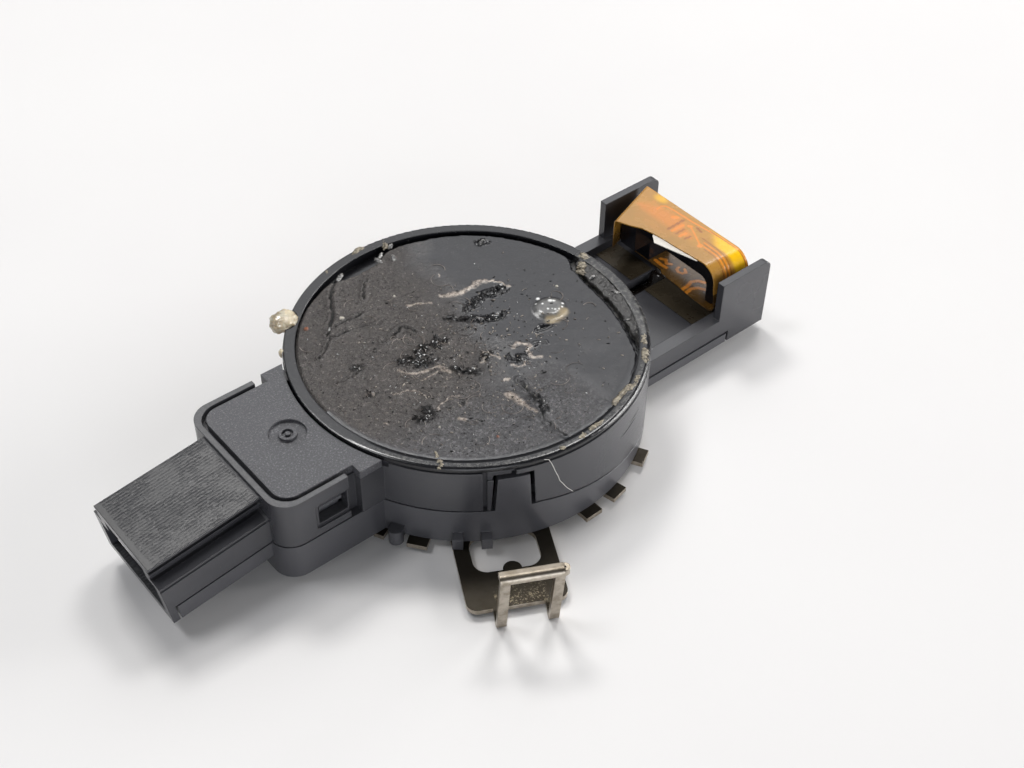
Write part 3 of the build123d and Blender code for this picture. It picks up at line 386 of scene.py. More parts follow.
# ---- Coupling gel ----
# Soft silicone pad, 1.1 mm thick, poured into the optic's rim and once pressed to the glass.
# Pulled off, it is torn at the tray side, creased and crumbed, with tan adhesive smears and lint.
gel_floor, gel_level, gel_draft = -1.1, -0.16, 0.996
gel_cells = 300
rim_wall, whole_radius = 19.65, 19.62
tear_reach = (
    (-180, 19.62), (-60, 19.6), (-47, 19.6), (-43, 19.1), (-33, 18.15), (-23, 17.7), (-13, 17.35),
    (-3, 17.2), (6, 17.85), (10, 18.9), (13, 19.22), (35, 19.22), (60, 19.15), (80, 19.0), (86, 18.4),
    (90, 17.5), (100, 17.45), (106, 18.2), (112, 19.3), (125, 19.58), (180, 19.62),
)
tan_strokes = (
    (0.42, ((2.0, 7.6), (2.8, 7.3), (3.5, 6.8), (4.4, 6.6), (5.6, 6.6), (6.9, 6.9), (7.9, 6.6))),
    (0.2, ((7.9, 6.6), (8.6, 6.0), (9.0, 5.2), (9.6, 4.0))),
    (0.16, ((-2.0, 8.8), (-1.2, 8.4), (-0.3, 7.8), (0.5, 7.4))),
    (0.16, ((-9.4, 0.3), (-9.2, -0.6), (-8.1, -1.2), (-7.0, -1.5), (-6.0, -1.8), (-5.4, -2.3), (-5.1, -3.3))),
    (0.35, ((-5.4, -2.6), (-5.1, -3.3))),
    (0.22, ((-1.4, -4.4), (-0.6, -4.0), (-0.1, -3.4), (0.4, -4.3), (0.7, -4.9))),
    (0.24, ((3.0, -4.5), (3.9, -4.4), (4.5, -5.0), (4.4, -5.9), (3.7, -6.4), (3.8, -7.2), (4.4, -7.9))),
    (0.16, ((1.1, -6.9), (1.5, -7.6), (2.2, -7.7), (2.6, -7.2))),
    (0.5, ((-2.3, -10.3), (-2.1, -11.2), (-2.1, -12.3))),
    (0.28, ((-2.1, -12.3), (-1.9, -13.4), (-1.8, -14.2))),
    (0.3, ((-8.9, -9.8), (-8.5, -10.2))),
    (0.16, ((-1.4, -8.2), (-0.8, -8.4))),
    (0.2, ((-15.6, -5.2), (-15.5, -5.6))),
    (0.2, ((-14.0, -0.5), (-13.9, -1.2))),
    (0.16, ((4.2, 10.7), (4.3, 11.0))),
    (0.1, ((-12.2, -2.3), (-11.0, -2.5), (-10.1, -3.2), (-9.6, -4.0), (-9.5, -4.8))),
    (0.1, ((-9.9, -7.4), (-8.8, -6.8), (-7.7, -6.6), (-6.9, -7.1))),
    (0.12, ((-8.2, -2.5), (-7.0, -2.7), (-6.0, -2.6))),
)
creases = (
    (0.20, ((-8.0, 5.4), (-7.2, 5.4), (-6.0, 5.8), (-4.8, 6.0))),
    (0.13, ((-4.6, 5.9), (-4.2, 5.0), (-4.0, 4.2))),
    (0.13, ((-15.2, 7.6), (-13.6, 8.6), (-12.2, 9.8), (-10.8, 9.4), (-9.4, 9.3), (-7.9, 8.9), (-6.4, 8.2))),
    (0.13, ((-12.6, 10.2), (-11.2, 10.9), (-9.2, 11.0), (-6.9, 10.9))),
    (
        0.20,
        ((-11.8, 10.9), (-10.2, 12.3), (-9.3, 13.6), (-8.8, 14.8), (-8.0, 16.0), (-7.0, 17.0), (-5.6, 17.7)),
    ),
    (0.13, ((-5.4, 12.8), (-4.4, 14.4), (-2.8, 15.8))),
    (0.10, ((-16.2, 2.9), (-15.0, 2.7), (-13.8, 2.75), (-12.4, 2.9))),
    (0.15, ((0.0, -9.2), (-0.1, -11.0), (-0.4, -12.8), (-1.1, -14.4), (-1.7, -15.8), (-2.0, -16.8))),
    (0.10, ((-2.0, -16.8), (-1.9, -18.0), (-1.9, -19.2))),
    (0.14, ((7.0, -4.1), (7.8, -4.2), (8.6, -4.4))),
    (0.12, ((5.0, -5.8), (5.8, -5.9), (6.4, -6.3))),
)
crumb_fields = (
    (0.9, ((-8.2, 1.2), (-6.6, 0.8), (-5.4, 1.6), (-4.0, 1.2), (-2.4, 1.4))),
    (0.7, ((-7.6, -0.2), (-6.2, -0.4), (-5.2, -0.8))),
    (0.7, ((0.2, 4.2), (1.2, 3.1), (2.2, 2.2), (3.2, 1.3), (4.2, 0.8), (5.8, 0.3))),
    (0.8, ((3.2, 3.8), (4.6, 4.4), (6.4, 4.6), (8.6, 4.0))),
    (0.7, ((-4.3, -3.2), (-3.6, -4.6), (-2.6, -5.4))),
    (0.8, ((1.6, -6.0), (2.6, -6.8))),
    (0.9, ((-12.4, -7.2), (-11.2, -7.8), (-10.8, -6.6))),
    (0.7, ((-0.4, -12.4), (-0.2, -13.6), (-0.7, -14.6))),
    (0.6, ((-1.0, -4.0), (0.2, -3.8))),
    (0.7, ((-13.2, 3.9), (-12.6, 3.4))),
    (0.6, ((11.9, 12.7), (12.7, 12.4))),
    (0.6, ((-14.2, -0.6), (-13.6, -1.0))),
)
bubble_place, bubble_size = (10.6, -2.1), 2.35
# Glints painted near white on the bubble, each with its place and radius.
bubble_glint_spots = (
    (10.7, 0.1, 0.32), (11.4, -1.3, 0.4), (11.7, -1.6, 0.3), (10.3, -1.2, 0.2), (10.2, -2.3, 0.2),
    (10.8, -2.9, 0.2), (11.2, -3.1, 0.16), (12.3, -2.5, 0.24), (10.6, -2.6, 0.14), (11.8, -3.0, 0.18),
    (9.8, -0.6, 0.16), (11.9, -0.6, 0.13),
)
dots = (
    (-9.35, 11.6, 0.38, "pale"), (-13.6, 12.7, 0.36, "rust"), (-2.3, 11.0, 0.2, "pale"),
    (-11.4, -9.6, 0.15, "pale"), (13.9, 0.4, 0.2, "pale"), (-7.4, -14.6, 0.2, "rust"),
    (0.0, -10.6, 0.14, "pale"), (-15.2, -13.9, 0.2, "pale"),
)


def nearest(spots, path):
    """Distance of every spot from a drawn line."""
    best = np.full(len(spots), 1e9)
    for start, end in zip(path, path[1:]):
        start, run = np.array(start), np.subtract(end, start)
        along = np.clip(((spots - start) @ run) / (run @ run), 0, 1)
        best = np.minimum(best, np.linalg.norm(spots - start - along[:, None] * run, axis=1))
    return best


def ease(value, low, high):
    """0 below low and 1 above high, smooth between them."""
    t = np.clip((value - low) / (high - low), 0, 1)
    return t * t * (3 - 2 * t)


def rough(spots, scale, seed, octaves=3):
    """Fractal noise at every spot, about -1 to 1; scale is in waves per millimetre."""
    return np.array([noise.fractal((u * scale, v * scale, seed), 1.0, 2.1, octaves) for u, v in spots])


gel = bmesh.new()
bmesh.ops.create_grid(gel, x_segments=gel_cells, y_segments=gel_cells, size=1)
square = np.array([v.co[:2] for v in gel.verts])
disc = square * np.sqrt(1 - square[:, ::-1] ** 2 / 2)
turn = np.degrees(np.arctan2(disc[:, 1], disc[:, 0]))
ragged = rough(disc * 19, 1.1, 3.0) * ease(np.abs(turn - 20), 150, 60) * 0.16
reach = np.interp(turn, *zip(*tear_reach)) + ragged * ease(np.hypot(*disc.T), 0.85, 1.0)
spots = disc * reach[:, None]
radius = np.hypot(*spots.T)
px, py = spots.T
wander = np.stack([rough(spots, 0.9, 11.0, 4), rough(spots, 0.9, 23.0, 4)], 1) * 0.34
drawn = spots + wander
left_side = ease(-px + 0.25 * py + 2.5 * rough(spots, 0.18, 31.0), -4.0, 4.0)
bottom = ease(-py, 7.0, 13.0) * ease(-px, -7.0, -2.0)
dusty = np.maximum(left_side, bottom)
torn = np.zeros(len(spots))
for width, path in crumb_fields:
    torn = np.maximum(torn, 1 - ease(nearest(drawn, path), 0.4 * width, 1.15 * width))
crumbs = np.clip(rough(spots, 1.25, 41.0, 4) * 1.6 + 0.1, -0.5, 1)
blend = rough(spots, 2.2, 47.0, 4)
tan = np.zeros(len(spots))
for width, path in tan_strokes:
    away = nearest(drawn, path) + 0.28 * width * blend
    tan = np.maximum(tan, 1 - ease(away, 0.35 * width, 1.15 * width))
# Creases are slits with a raised lip beside them; the core of each slit is painted dark as shade.
slit_and_shade = np.zeros(len(spots))
lip = np.zeros(len(spots))
broken = ease(rough(spots, 0.8, 61.0), -0.55, 0.0)
for width, path in creases:
    away = nearest(drawn, path)
    slit_and_shade = np.maximum(slit_and_shade, (1 - ease(away, 0.2 * width, 1.3 * width)) * (0.35 + 0.65 * broken))
    lip = np.maximum(lip, np.exp(-(((away - 2.2 * width) / (1.1 * width)) ** 2)) * broken)
whole_side = ease(np.abs(turn + 145), 105, 80)
# The gel rises into a brim along the rim at the front, and the brim is painted lighter there as a sheen.
brim_and_sheen = ease(rim_wall - radius, 1.0, 0.0) * whole_side
bubble = np.clip(1 - np.hypot(px - bubble_place[0], (py - bubble_place[1]) * 1.08) / bubble_size, 0, 1)
edge_drop = ease(reach - radius, 0.35, 0.0) * (1 - whole_side)
height = (
    gel_level
    + 0.05 * rough(spots, 0.22, 5.0)
    + dusty * (0.035 * rough(spots, 0.9, 7.0) + 0.025 * rough(spots, 2.6, 9.0))
    + torn * 0.3 * np.maximum(crumbs, -0.25)
    + tan * (0.05 + 0.08 * blend)
    - slit_and_shade * 0.16
    + lip * 0.16
    + 0.15 * brim_and_sheen
    + 0.34 * ease(bubble, 0, 0.55)
    - 0.35 * edge_drop
)
wet = torn * ease(crumbs, -0.4, 0.2)
dome = ease(bubble, 0.04, 0.4) * (0.75 + 0.25 * blend)
# Mask of the glints painted on the bubble.
painted_bubble_glint = np.zeros(len(spots))
for gx, gy, gr in bubble_glint_spots:
    painted_bubble_glint = np.maximum(painted_bubble_glint, 1 - ease(np.hypot(px - gx, py - gy), 0.3 * gr, 0.95 * gr))
amber_glow = 1 - ease(nearest(drawn, ((9.2, -3.8), (10.4, -4.1), (11.6, -3.6))), 0.1, 0.85)
pale = np.zeros(len(spots))
rust = np.zeros(len(spots))
for dx, dy, dr, kind in dots:
    dot = 1 - ease(np.hypot(px - dx, py - dy), 0.5 * dr, dr)
    height += dot * 0.2
    target = pale if kind == "pale" else rust
    target[:] = np.maximum(target, dot)
for vert, (u, v), h in zip(gel.verts, spots, height):
    vert.co = (u, v, h)
rim_loop = [e for e in gel.edges if e.is_boundary]
skirt = bmesh.ops.extrude_edge_only(gel, edges=rim_loop)["geom"]
lowered = [v for v in skirt if isinstance(v, bmesh.types.BMVert)]
for vert in lowered:
    vert.co.z = gel_floor
    vert.co.xy *= gel_draft
bmesh.ops.holes_fill(gel, edges=[e for e in gel.edges if e.is_boundary])
gel.verts.index_update()
masks = dict(
    dusty=dusty, torn=wet, tan=tan, slit_and_shade=slit_and_shade, painted_bubble_glint=painted_bubble_glint,
    amber=amber_glow, pale=pale, rust=rust, dome=dome, brim_and_sheen=brim_and_sheen,
)
silicone = Finish("gel black", Specular_IOR_Level=0.5)
gel_fine = silicone.noise(2.1, detail=6, roughness=0.75)
gel_soft = silicone.noise(0.55, detail=4, roughness=0.6)
gel_cloud = silicone.noise(0.22, detail=3)
speckle = silicone.noise(2.6, detail=3, roughness=0.85)
lint = silicone.noise(1.2, detail=6, roughness=0.85).step(0.58, 0.66)
dust = silicone.mask("dusty") * (1 - silicone.mask("brim_and_sheen"))
# Gel colour: dust, stains and tan smears, with painted sheen, shade and glints laid over them.
soil_and_painted_light = silicone.mix(gel_cloud, tone(32, 32, 35), tone(46, 46, 50))
front = silicone.axes()[1].step(-4.0, -13.0)
dry = silicone.mix(front, tone(92, 87, 84), tone(94, 93, 95))
chalky = silicone.mix(front, tone(124, 118, 114), tone(150, 149, 151))
soil_and_painted_light = silicone.mix(dust * (0.45 + gel_cloud * 0.5), soil_and_painted_light, dry)
soil_and_painted_light = silicone.mix(dust * gel_fine.step(0.5, 0.66) * 0.45, soil_and_painted_light, chalky)
soil_and_painted_light = silicone.mix(dust * speckle.step(0.44, 0.33) * 0.85, soil_and_painted_light, tone(16, 15, 15))
soil_and_painted_light = silicone.mix(dust * lint * 0.6, soil_and_painted_light, tone(112, 102, 94))
soil_and_painted_light = silicone.mix((dust * 0.75 + 0.1) * speckle.step(0.62, 0.7), soil_and_painted_light, tone(166, 160, 152))
soil_and_painted_light = silicone.mix(silicone.mask("torn") * 0.8, soil_and_painted_light, tone(20, 20, 22))
# Painted sheen on the brim.
soil_and_painted_light = silicone.mix(silicone.mask("brim_and_sheen") * 0.7, soil_and_painted_light, tone(84, 84, 87))
# Painted shade in the crease slits.
soil_and_painted_light = silicone.mix(silicone.mask("slit_and_shade") * 0.95, soil_and_painted_light, tone(12, 12, 13))
flaky = silicone.mask("tan") * (0.45 + gel_fine.step(0.34, 0.5) * 0.55)
adhesive = silicone.mix(gel_fine.step(0.3, 0.7), tone(92, 78, 68), tone(206, 194, 182))
clear_grey = silicone.mix(gel_soft, tone(112, 112, 112), tone(160, 159, 155))
amber_drop = silicone.mix(gel_fine, tone(132, 116, 88), tone(200, 182, 148))
soil_and_painted_light = silicone.mix(flaky, soil_and_painted_light, adhesive)
soil_and_painted_light = silicone.mix(silicone.mask("dome") * 0.7, soil_and_painted_light, clear_grey)
soil_and_painted_light = silicone.mix(silicone.mask("amber") * 0.8, soil_and_painted_light, amber_drop)
soil_and_painted_light = silicone.mix(silicone.mask("pale"), soil_and_painted_light, tone(206, 200, 186))
soil_and_painted_light = silicone.mix(silicone.mask("rust"), soil_and_painted_light, tone(150, 92, 66))
# Painted glints on the bubble.
soil_and_painted_light = silicone.mix(silicone.mask("painted_bubble_glint"), soil_and_painted_light, tone(252, 252, 250))
wet_shine = silicone.mask("torn") * 0.2 + silicone.mask("dome") * 0.15
grit = gel_fine * (0.06 + dust * 0.75 + silicone.mask("torn") * 0.8)
silicone.paint(
    Base_Color=soil_and_painted_light,
    Roughness=0.17 + dust * 0.02 + gel_fine * 0.12 - wet_shine,
    Normal=silicone.bump(grit + gel_soft * (0.06 + dust * 0.4), strength=1.0, distance=0.36),
)
gel_sheet = piece("gel_sheet", gel, silicone)


def carry(made, masks, elsewhere=()):
    """Masks go on the mesh's first points. Its other points get 1 in the masks named, and 0 in the rest."""
    for name, values in masks.items():
        layer = made.data.attributes.new(name, "FLOAT", "POINT")
        full = np.full(len(made.data.vertices), 1.0 if name in elsewhere else 0.0, dtype=np.float32)
        full[: len(values)] = values
        layer.data.foreach_set("value", full)


carry(gel_sheet, masks)
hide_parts("gel_pad")

# ---- Shred on the ledge ----
# The scaly strip of the same gel that stayed on the optic's ledge when the pad tore at the tray side.
# It is stuck down from the tear to the rim, and stands higher outwards.
shred_middle, shred_half_turn = -22.0, 29.5
ledge = bmesh.new()
bmesh.ops.create_grid(ledge, x_segments=190, y_segments=16, size=1)
for vert in ledge.verts:
    angle = shred_middle + shred_half_turn * vert.co.x
    across = (vert.co.y + 1) / 2
    jag = noise.fractal((angle * 0.35, 0, 8.0), 1.0, 2.0, 3)
    inner = np.interp(angle, *zip(*tear_reach)) + 0.62 + 0.18 * jag
    far_out = max(whole_radius, inner + 0.25)
    reached = inner + (far_out - inner) * across
    spot = Vector((reached * math.cos(math.radians(angle)), reached * math.sin(math.radians(angle)), 0))
    scale = noise.fractal(spot * 1.1 + Vector((0, 0, 4)), 1.0, 2.1, 4)
    spot.z = -0.34 + 0.26 * across + 0.16 * scale
    vert.co = spot
skirt = bmesh.ops.extrude_edge_only(ledge, edges=[e for e in ledge.edges if e.is_boundary])["geom"]
for vert in skirt:
    if isinstance(vert, bmesh.types.BMVert):
        vert.co.z = gel_floor
bmesh.ops.holes_fill(ledge, edges=[e for e in ledge.edges if e.is_boundary])
shred = Finish("torn gel", Specular_IOR_Level=0.5)
shred_scale = shred.noise(1.5, detail=6, roughness=0.75)
shred_glint_speck = shred.noise(3.2, detail=3, roughness=0.8).step(0.6, 0.68)
shred_tone = shred.mix(shred_scale, tone(22, 22, 24), tone(62, 60, 58))
shred.paint(
    # Pale specks painted on the shred as glints.
    Base_Color=shred.mix(shred_glint_speck * 0.7, shred_tone, tone(150, 146, 138)),
    Roughness=0.22 + shred_scale * 0.3,
    Normal=shred.bump(shred_scale, strength=0.8, distance=0.12),
)
piece("ledge_shred", ledge, shred)

# ---- Tan flakes ----
# Crusts of tan adhesive residue that stuck along the rim when the pad was pulled off the glass.
# Each is a row of three rough pebbles, listed with its place, half size and turn.


def lump(form, place, size, turn, seed, cuts=3, swelling=0.35):
    """A rough pebble of that half size, lying flat and turned about z."""
    made = bmesh.ops.create_icosphere(form, subdivisions=cuts, radius=1)["verts"]
    spin = Matrix.Rotation(math.radians(turn), 3, "Z")
    for vert in made:
        drift = Vector((seed, seed * 0.7, 0))
        swell = 1 + swelling * (noise.noise(vert.co * 1.7 + drift) + 0.8 * noise.noise(vert.co * 5.0 + drift))
        vert.co = Vector(place) + spin @ Vector([c * h * swell for c, h in zip(vert.co, size)])


dice = random.Random(7)
flakes = bmesh.new()
tan_flakes = (
    ((7.6, -18.25, 0.02), (2.3, 0.34, 0.10), 16), ((2.0, -20.15, 0.03), (1.15, 0.26, 0.08), 4),
    ((-0.4, -20.35, 0.03), (0.5, 0.24, 0.10), 0), ((-3.1, -20.35, 0.03), (0.42, 0.18, 0.10), -8),
    ((13.7, -15.15, 0.02), (1.25, 0.34, 0.10), 50), ((-14.1, -12.7, 0.0), (0.5, 0.16, 0.10), 70),
    ((-14.5, -13.8, 0.02), (0.42, 0.2, 0.12), 50), ((-14.9, -14.3, 0.03), (0.3, 0.2, 0.1), 20),
    ((19.0, 1.6, -0.05), (0.7, 0.5, 0.2), 30), ((20.2, 2.6, 0.04), (0.7, 0.4, 0.12), 60),
    ((18.1, 0.9, -0.15), (0.35, 0.5, 0.2), 10), ((2.5, 19.4, -0.02), (0.35, 0.7, 0.16), -25),
    ((-0.5, 20.7, 0.02), (0.95, 0.26, 0.1), 2), ((-6.0, 19.6, 0.0), (0.35, 0.16, 0.08), 30),
    ((15.4, -13.2, 0.0), (0.8, 0.3, 0.08), 48), ((10.4, -17.3, 0.02), (0.5, 0.2, 0.06), 30),
)
for seed, ((u, v, lift), (long, wide, thick), turn) in enumerate(tan_flakes):
    for k in range(3):
        along_flake = (k - 1) * 0.5 * long + dice.uniform(-0.1, 0.1) * long
        shift_u = along_flake * math.cos(math.radians(turn)) + dice.uniform(-0.15, 0.15)
        shift_v = along_flake * math.sin(math.radians(turn)) + dice.uniform(-0.15, 0.15)
        share = dice.uniform(0.35, 0.6)
        lump(
            flakes,
            (u + shift_u, v + shift_v, lift - 0.3 * thick),
            (long * share, wide * (0.5 + share), thick * share * 1.3),
            turn + dice.uniform(-18, 18),
            seed * 3.1 + k,
            swelling=0.8,
        )
tan_shred = Finish("tan residue", Specular_IOR_Level=0.5)
tan_fleck = tan_shred.noise(2.2, detail=5, roughness=0.75)
tan_shred.paint(
    Base_Color=tan_shred.mix(tan_fleck.step(0.35, 0.65), tone(84, 76, 64), tone(176, 166, 146)),
    Roughness=0.3 + tan_fleck * 0.3,
    Normal=tan_shred.bump(tan_fleck, strength=0.8, distance=0.1),
)
piece("tan_flakes", flakes, tan_shred)

# ---- Crumbs and flecks ----
# Wet black crumbs of gel where the pad was picked at, pale dust flecks, and near-white glossy bits that are
# painted glints.
# They lie loose on the tacky pad, thickest in the torn fields.
loose_bits, bits_within = 900, 18.3
crumb_form = bmesh.new()
fleck_form = bmesh.new()
glint_bit_form = bmesh.new()


def scatter(form, u, v, big):
    """A small flat crumb lying on the gel."""
    at = int(np.argmin((px - u) ** 2 + (py - v) ** 2))
    size = (big * dice.uniform(0.8, 1.9), big * dice.uniform(0.4, 0.8), big * dice.uniform(0.35, 0.7))
    lump(form, (u, v, height[at] + 0.3 * size[2]), size, dice.uniform(0, 180), dice.uniform(0, 90), cuts=1)


for width, path in crumb_fields:
    for start, end in zip(path, path[1:]):
        run = math.dist(start, end)
        for form, count, spread, small, large in (
            (crumb_form, int(4 + 5 * run), 0.5, 0.06, 0.26),
            (glint_bit_form, 2 + int(1.5 * run), 0.4, 0.05, 0.13),
        ):
            for _ in range(count):
                t = dice.random()
                u, v = (a + (b - a) * t + dice.gauss(0, spread * width) for a, b in zip(start, end))
                scatter(form, u, v, dice.uniform(small, large))
for _ in range(loose_bits):
    u, v = dice.gauss(-2.0, 8.0), dice.gauss(-4.5, 7.0)
    if math.hypot(u, v) < bits_within:
        kind = dice.random()
        form = crumb_form if kind < 0.5 else fleck_form if kind < 0.93 else glint_bit_form
        scatter(form, u, v, dice.uniform(0.04, 0.10) if form is glint_bit_form else dice.uniform(0.05, 0.16))
crumb = Finish("wet crumbs", Specular_IOR_Level=0.7)
crumb_tone = crumb.noise(1.1, detail=3)
crumb.paint(
    Base_Color=crumb.mix(crumb_tone.step(0.42, 0.62), tone(16, 16, 18), tone(48, 46, 45)),
    Roughness=0.08 + crumb_tone * 0.1,
    Normal=crumb.bump(crumb_tone, strength=0.4, distance=0.05),
)
piece("gel_crumbs", crumb_form, crumb, smooth=False)
fleck = Finish("pale flecks", Specular_IOR_Level=0.5)
fleck_tone = fleck.noise(0.9, detail=3)
fleck.paint(
    Base_Color=fleck.mix(fleck_tone.step(0.35, 0.65), tone(86, 78, 72), tone(168, 158, 146)),
    Roughness=0.3 + fleck_tone * 0.2,
)
piece("pale_flecks", fleck_form, fleck)
# Near-white glossy bits that stand as painted glints on the crumbs and the pad.
glint_bit_finish = Finish("painted glint flecks", Roughness=0.06, Specular_IOR_Level=0.8)
glint_bit_tone = glint_bit_finish.noise(1.2, detail=3)
glint_bit_finish.paint(
    Base_Color=glint_bit_finish.mix(glint_bit_tone.step(0.4, 0.6), tone(170, 170, 170), tone(244, 244, 242)),
    Normal=glint_bit_finish.bump(glint_bit_tone, strength=0.3, distance=0.04),
)
piece("painted_glint_flecks", glint_bit_form, glint_bit_finish)

# ---- Grey shreds ----
# Larger torn scraps of the gel, grey with dust, at the tear, on the rim and on the pad.
# They cling by their own tack.
shred_form = bmesh.new()
grey_shreds = (
    ((0.2, 17.7, -0.25), (0.3, 0.75, 0.3), 10), ((1.0, 18.3, -0.2), (0.7, 0.24, 0.25), 40),
    ((1.9, 16.9, -0.1), (0.6, 0.3, 0.2), 65), ((2.9, 18.9, -0.1), (0.5, 0.3, 0.2), 30),
    ((12.2, 12.6, -0.08), (0.6, 0.24, 0.14), 20), ((16.4, -9.3, -0.2), (0.45, 0.14, 0.1), -25),
    ((18.3, -1.0, -0.1), (0.5, 0.2, 0.14), 15), ((18.7, -4.9, -0.1), (0.3, 0.6, 0.14), 25),
    ((-5.3, 17.9, -0.1), (0.8, 0.3, 0.15), 35), ((-11.6, 10.9, -0.05), (0.4, 0.12, 0.1), 40),
)
for seed, (place, size, turn) in enumerate(grey_shreds):
    lump(shred_form, place, size, turn, 50 + seed * 2.3)
grey_shred = Finish("grey shreds", Specular_IOR_Level=0.6)
grey_fleck = grey_shred.noise(2.0, detail=5, roughness=0.7)
grey_shred.paint(
    Base_Color=grey_shred.mix(grey_fleck.step(0.4, 0.65), tone(52, 52, 54), tone(178, 176, 172)),
    Roughness=0.12 + grey_fleck * 0.2,
    Normal=grey_shred.bump(grey_fleck, strength=0.8, distance=0.1),
)
piece("grey_shreds", shred_form, grey_shred)

# ---- Squeezed-out gel ----
# Clear silicone that was pressed over the rim at the left and set there as a cream-coloured drop,
# with a smaller one beside it. It hangs on the outside of the round wall.
wall_outside, rim_inside, rim_top = 21.12, 20.2, 0.03
blob = bmesh.new()
lump(blob, (-14.75, 15.5, -0.15), (1.75, 1.6, 0.75), 40, 4.4, cuts=5, swelling=0.12)
lump(blob, (-15.2, 15.9, -0.7), (1.15, 1.1, 1.1), 40, 9.4, cuts=5, swelling=0.12)
lump(blob, (-18.0, 11.2, -0.35), (0.45, 0.3, 0.5), 60, 2.0, cuts=4, swelling=0.12)
for vert in blob.verts:
    off = math.hypot(vert.co.x, vert.co.y)
    if off < wall_outside and vert.co.z < rim_top:
        if wall_outside - off < rim_top - vert.co.z and off > rim_inside:
            vert.co.xy *= wall_outside / off
        else:
            vert.co.z = rim_top
squeezed = Finish(
    "squeezed gel", Roughness=0.12, Specular_IOR_Level=0.55, Subsurface_Weight=0.4, Subsurface_Scale=0.0015
)
squeezed.shader.inputs["Subsurface Radius"].default_value = (1.0, 0.75, 0.5)
cream = squeezed.noise(0.9, detail=4)
squeezed.paint(
    Base_Color=squeezed.mix(cream.step(0.3, 0.7), tone(160, 144, 118), tone(206, 195, 172)),
    Normal=squeezed.bump(cream, strength=0.25, distance=0.1),
)
piece("squeezed_gel", blob, squeezed)

# ---- Lint ----
# Short curled textile fibres that stuck to the tacky pad, and one white hair down the front wall.
# Each curl is a thin square thread swept round an arc, then laid on the gel.
lint_count, lint_within = 95, 18
fibres = bmesh.new()
for _ in range(lint_count):
    u, v = dice.gauss(-5, 7.5), dice.gauss(-4, 7.5)
    if math.hypot(u, v) > lint_within:
        continue
    at = int(np.argmin((px - u) ** 2 + (py - v) ** 2))
    curl = dice.uniform(0.35, 1.4)
    ring = bmesh.ops.create_circle(fibres, segments=4, radius=dice.uniform(0.02, 0.04))["verts"]
    bmesh.ops.rotate(fibres, matrix=Matrix.Rotation(math.pi / 2, 3, "X"), verts=ring)
    bmesh.ops.translate(fibres, vec=(curl, 0, 0), verts=ring)
    loop = list({e for w in ring for e in w.link_edges})
    sweep = dice.uniform(0.7, 3.6)
    bmesh.ops.spin(fibres, geom=loop, axis=(0, 0, 1), angle=sweep, steps=14)
    slope = Matrix.Rotation(dice.uniform(-0.06, 0.06), 3, "X") @ Matrix.Rotation(dice.uniform(0, 6.28), 3, "Z")
    for w in fibres.verts:
        if not w.tag:
            w.co = slope @ w.co + Vector((u, v, height[at] + 0.05))
            w.tag = True
hair_path = (
    (-106.0, 0.06), (-104.5, -0.2), (-103.6, -0.9), (-103.0, -1.5), (-102.2, -2.4), (-101.2, -3.3),
    (-100.6, -4.1), (-99.3, -4.9), (-98.4, -5.5), (-97.5, -6.0), (-96.4, -6.5), (-95.6, -6.9),
)
hair_radius, hair_half = 21.22, 0.045
previous = None
for degrees_round, hair_level in hair_path:
    along_wall = math.radians(degrees_round)
    centre = Vector((hair_radius * math.cos(along_wall), hair_radius * math.sin(along_wall), hair_level))
    outward = Vector((centre.x, centre.y, 0)).normalized() * hair_half
    sideways = Vector((-outward.y, outward.x, 0))
    corners = (centre + outward, centre + sideways, centre - outward * 0.4, centre - sideways)
    ring = [fibres.verts.new(corner) for corner in corners]
    if previous:
        for k in range(4):
            fibres.faces.new((previous[k], previous[(k + 1) % 4], ring[(k + 1) % 4], ring[k]))
    previous = ring
thread = Finish("lint", Specular_IOR_Level=0.3)
on_wall = thread.axes()[1] < -19.5
thread_tone = thread.noise(0.4, detail=2)
curl_tone = thread.mix(thread_tone.step(0.35, 0.65), tone(76, 68, 64), tone(158, 148, 140))
thread.paint(
    Base_Color=thread.mix(on_wall, curl_tone, tone(214, 212, 208)),
    Roughness=0.5 + thread_tone * 0.2,
)
piece("lint_fibres", fibres, thread)

# ---- Flex circuit ----
# Amber polyimide strip with copper lines, folded over the saddle to lift the humidity chip.
# It goes on over the tray floor and through a slot to the board.
strip_thickness = 0.15
strip_top, strip_floor, flap_end = -1.025, -8.125, -5.4
far_radius, near_radius, floor_radius = 0.5, 2.3, 1.2
back_edge = 37.15
front_edge = (
    (-9, 31.5), (-6.5, 31.5), (-4, 31.3), (-2, 31.1), (0, 31.0), (1, 30.85), (2, 30.65), (3, 30.45),
    (4.2, 29.75), (6, 28.95), (10, 28.9),
)
floor_edge = ((-8, 32.1), (-5, 32.15), (-2, 32.5), (1, 32.6), (1.6, 33.1), (7, 33.2))
floor_run_end = 6.8
flap_cells, far_cells, top_cells, bend_cells, side_cells, foot_cells, floor_cells = 14, 8, 96, 34, 26, 14, 110
bend_row = flap_cells + far_cells + top_cells
side_row = bend_row + bend_cells
foot_row = side_row + side_cells
floor_row = foot_row + foot_cells


def bent(cy, cz, radius, start, cells):
    """A quarter turn about a centre, from its start angle."""
    angles = [math.radians(start + 90 * i / cells) for i in range(cells)]
    return [(cy + radius * math.cos(a), cz + radius * math.sin(a)) for a in angles]


def straight(y0, z0, y1, z1, cells):
    return [(y0 + (y1 - y0) * i / cells, z0 + (z1 - z0) * i / cells) for i in range(cells)]


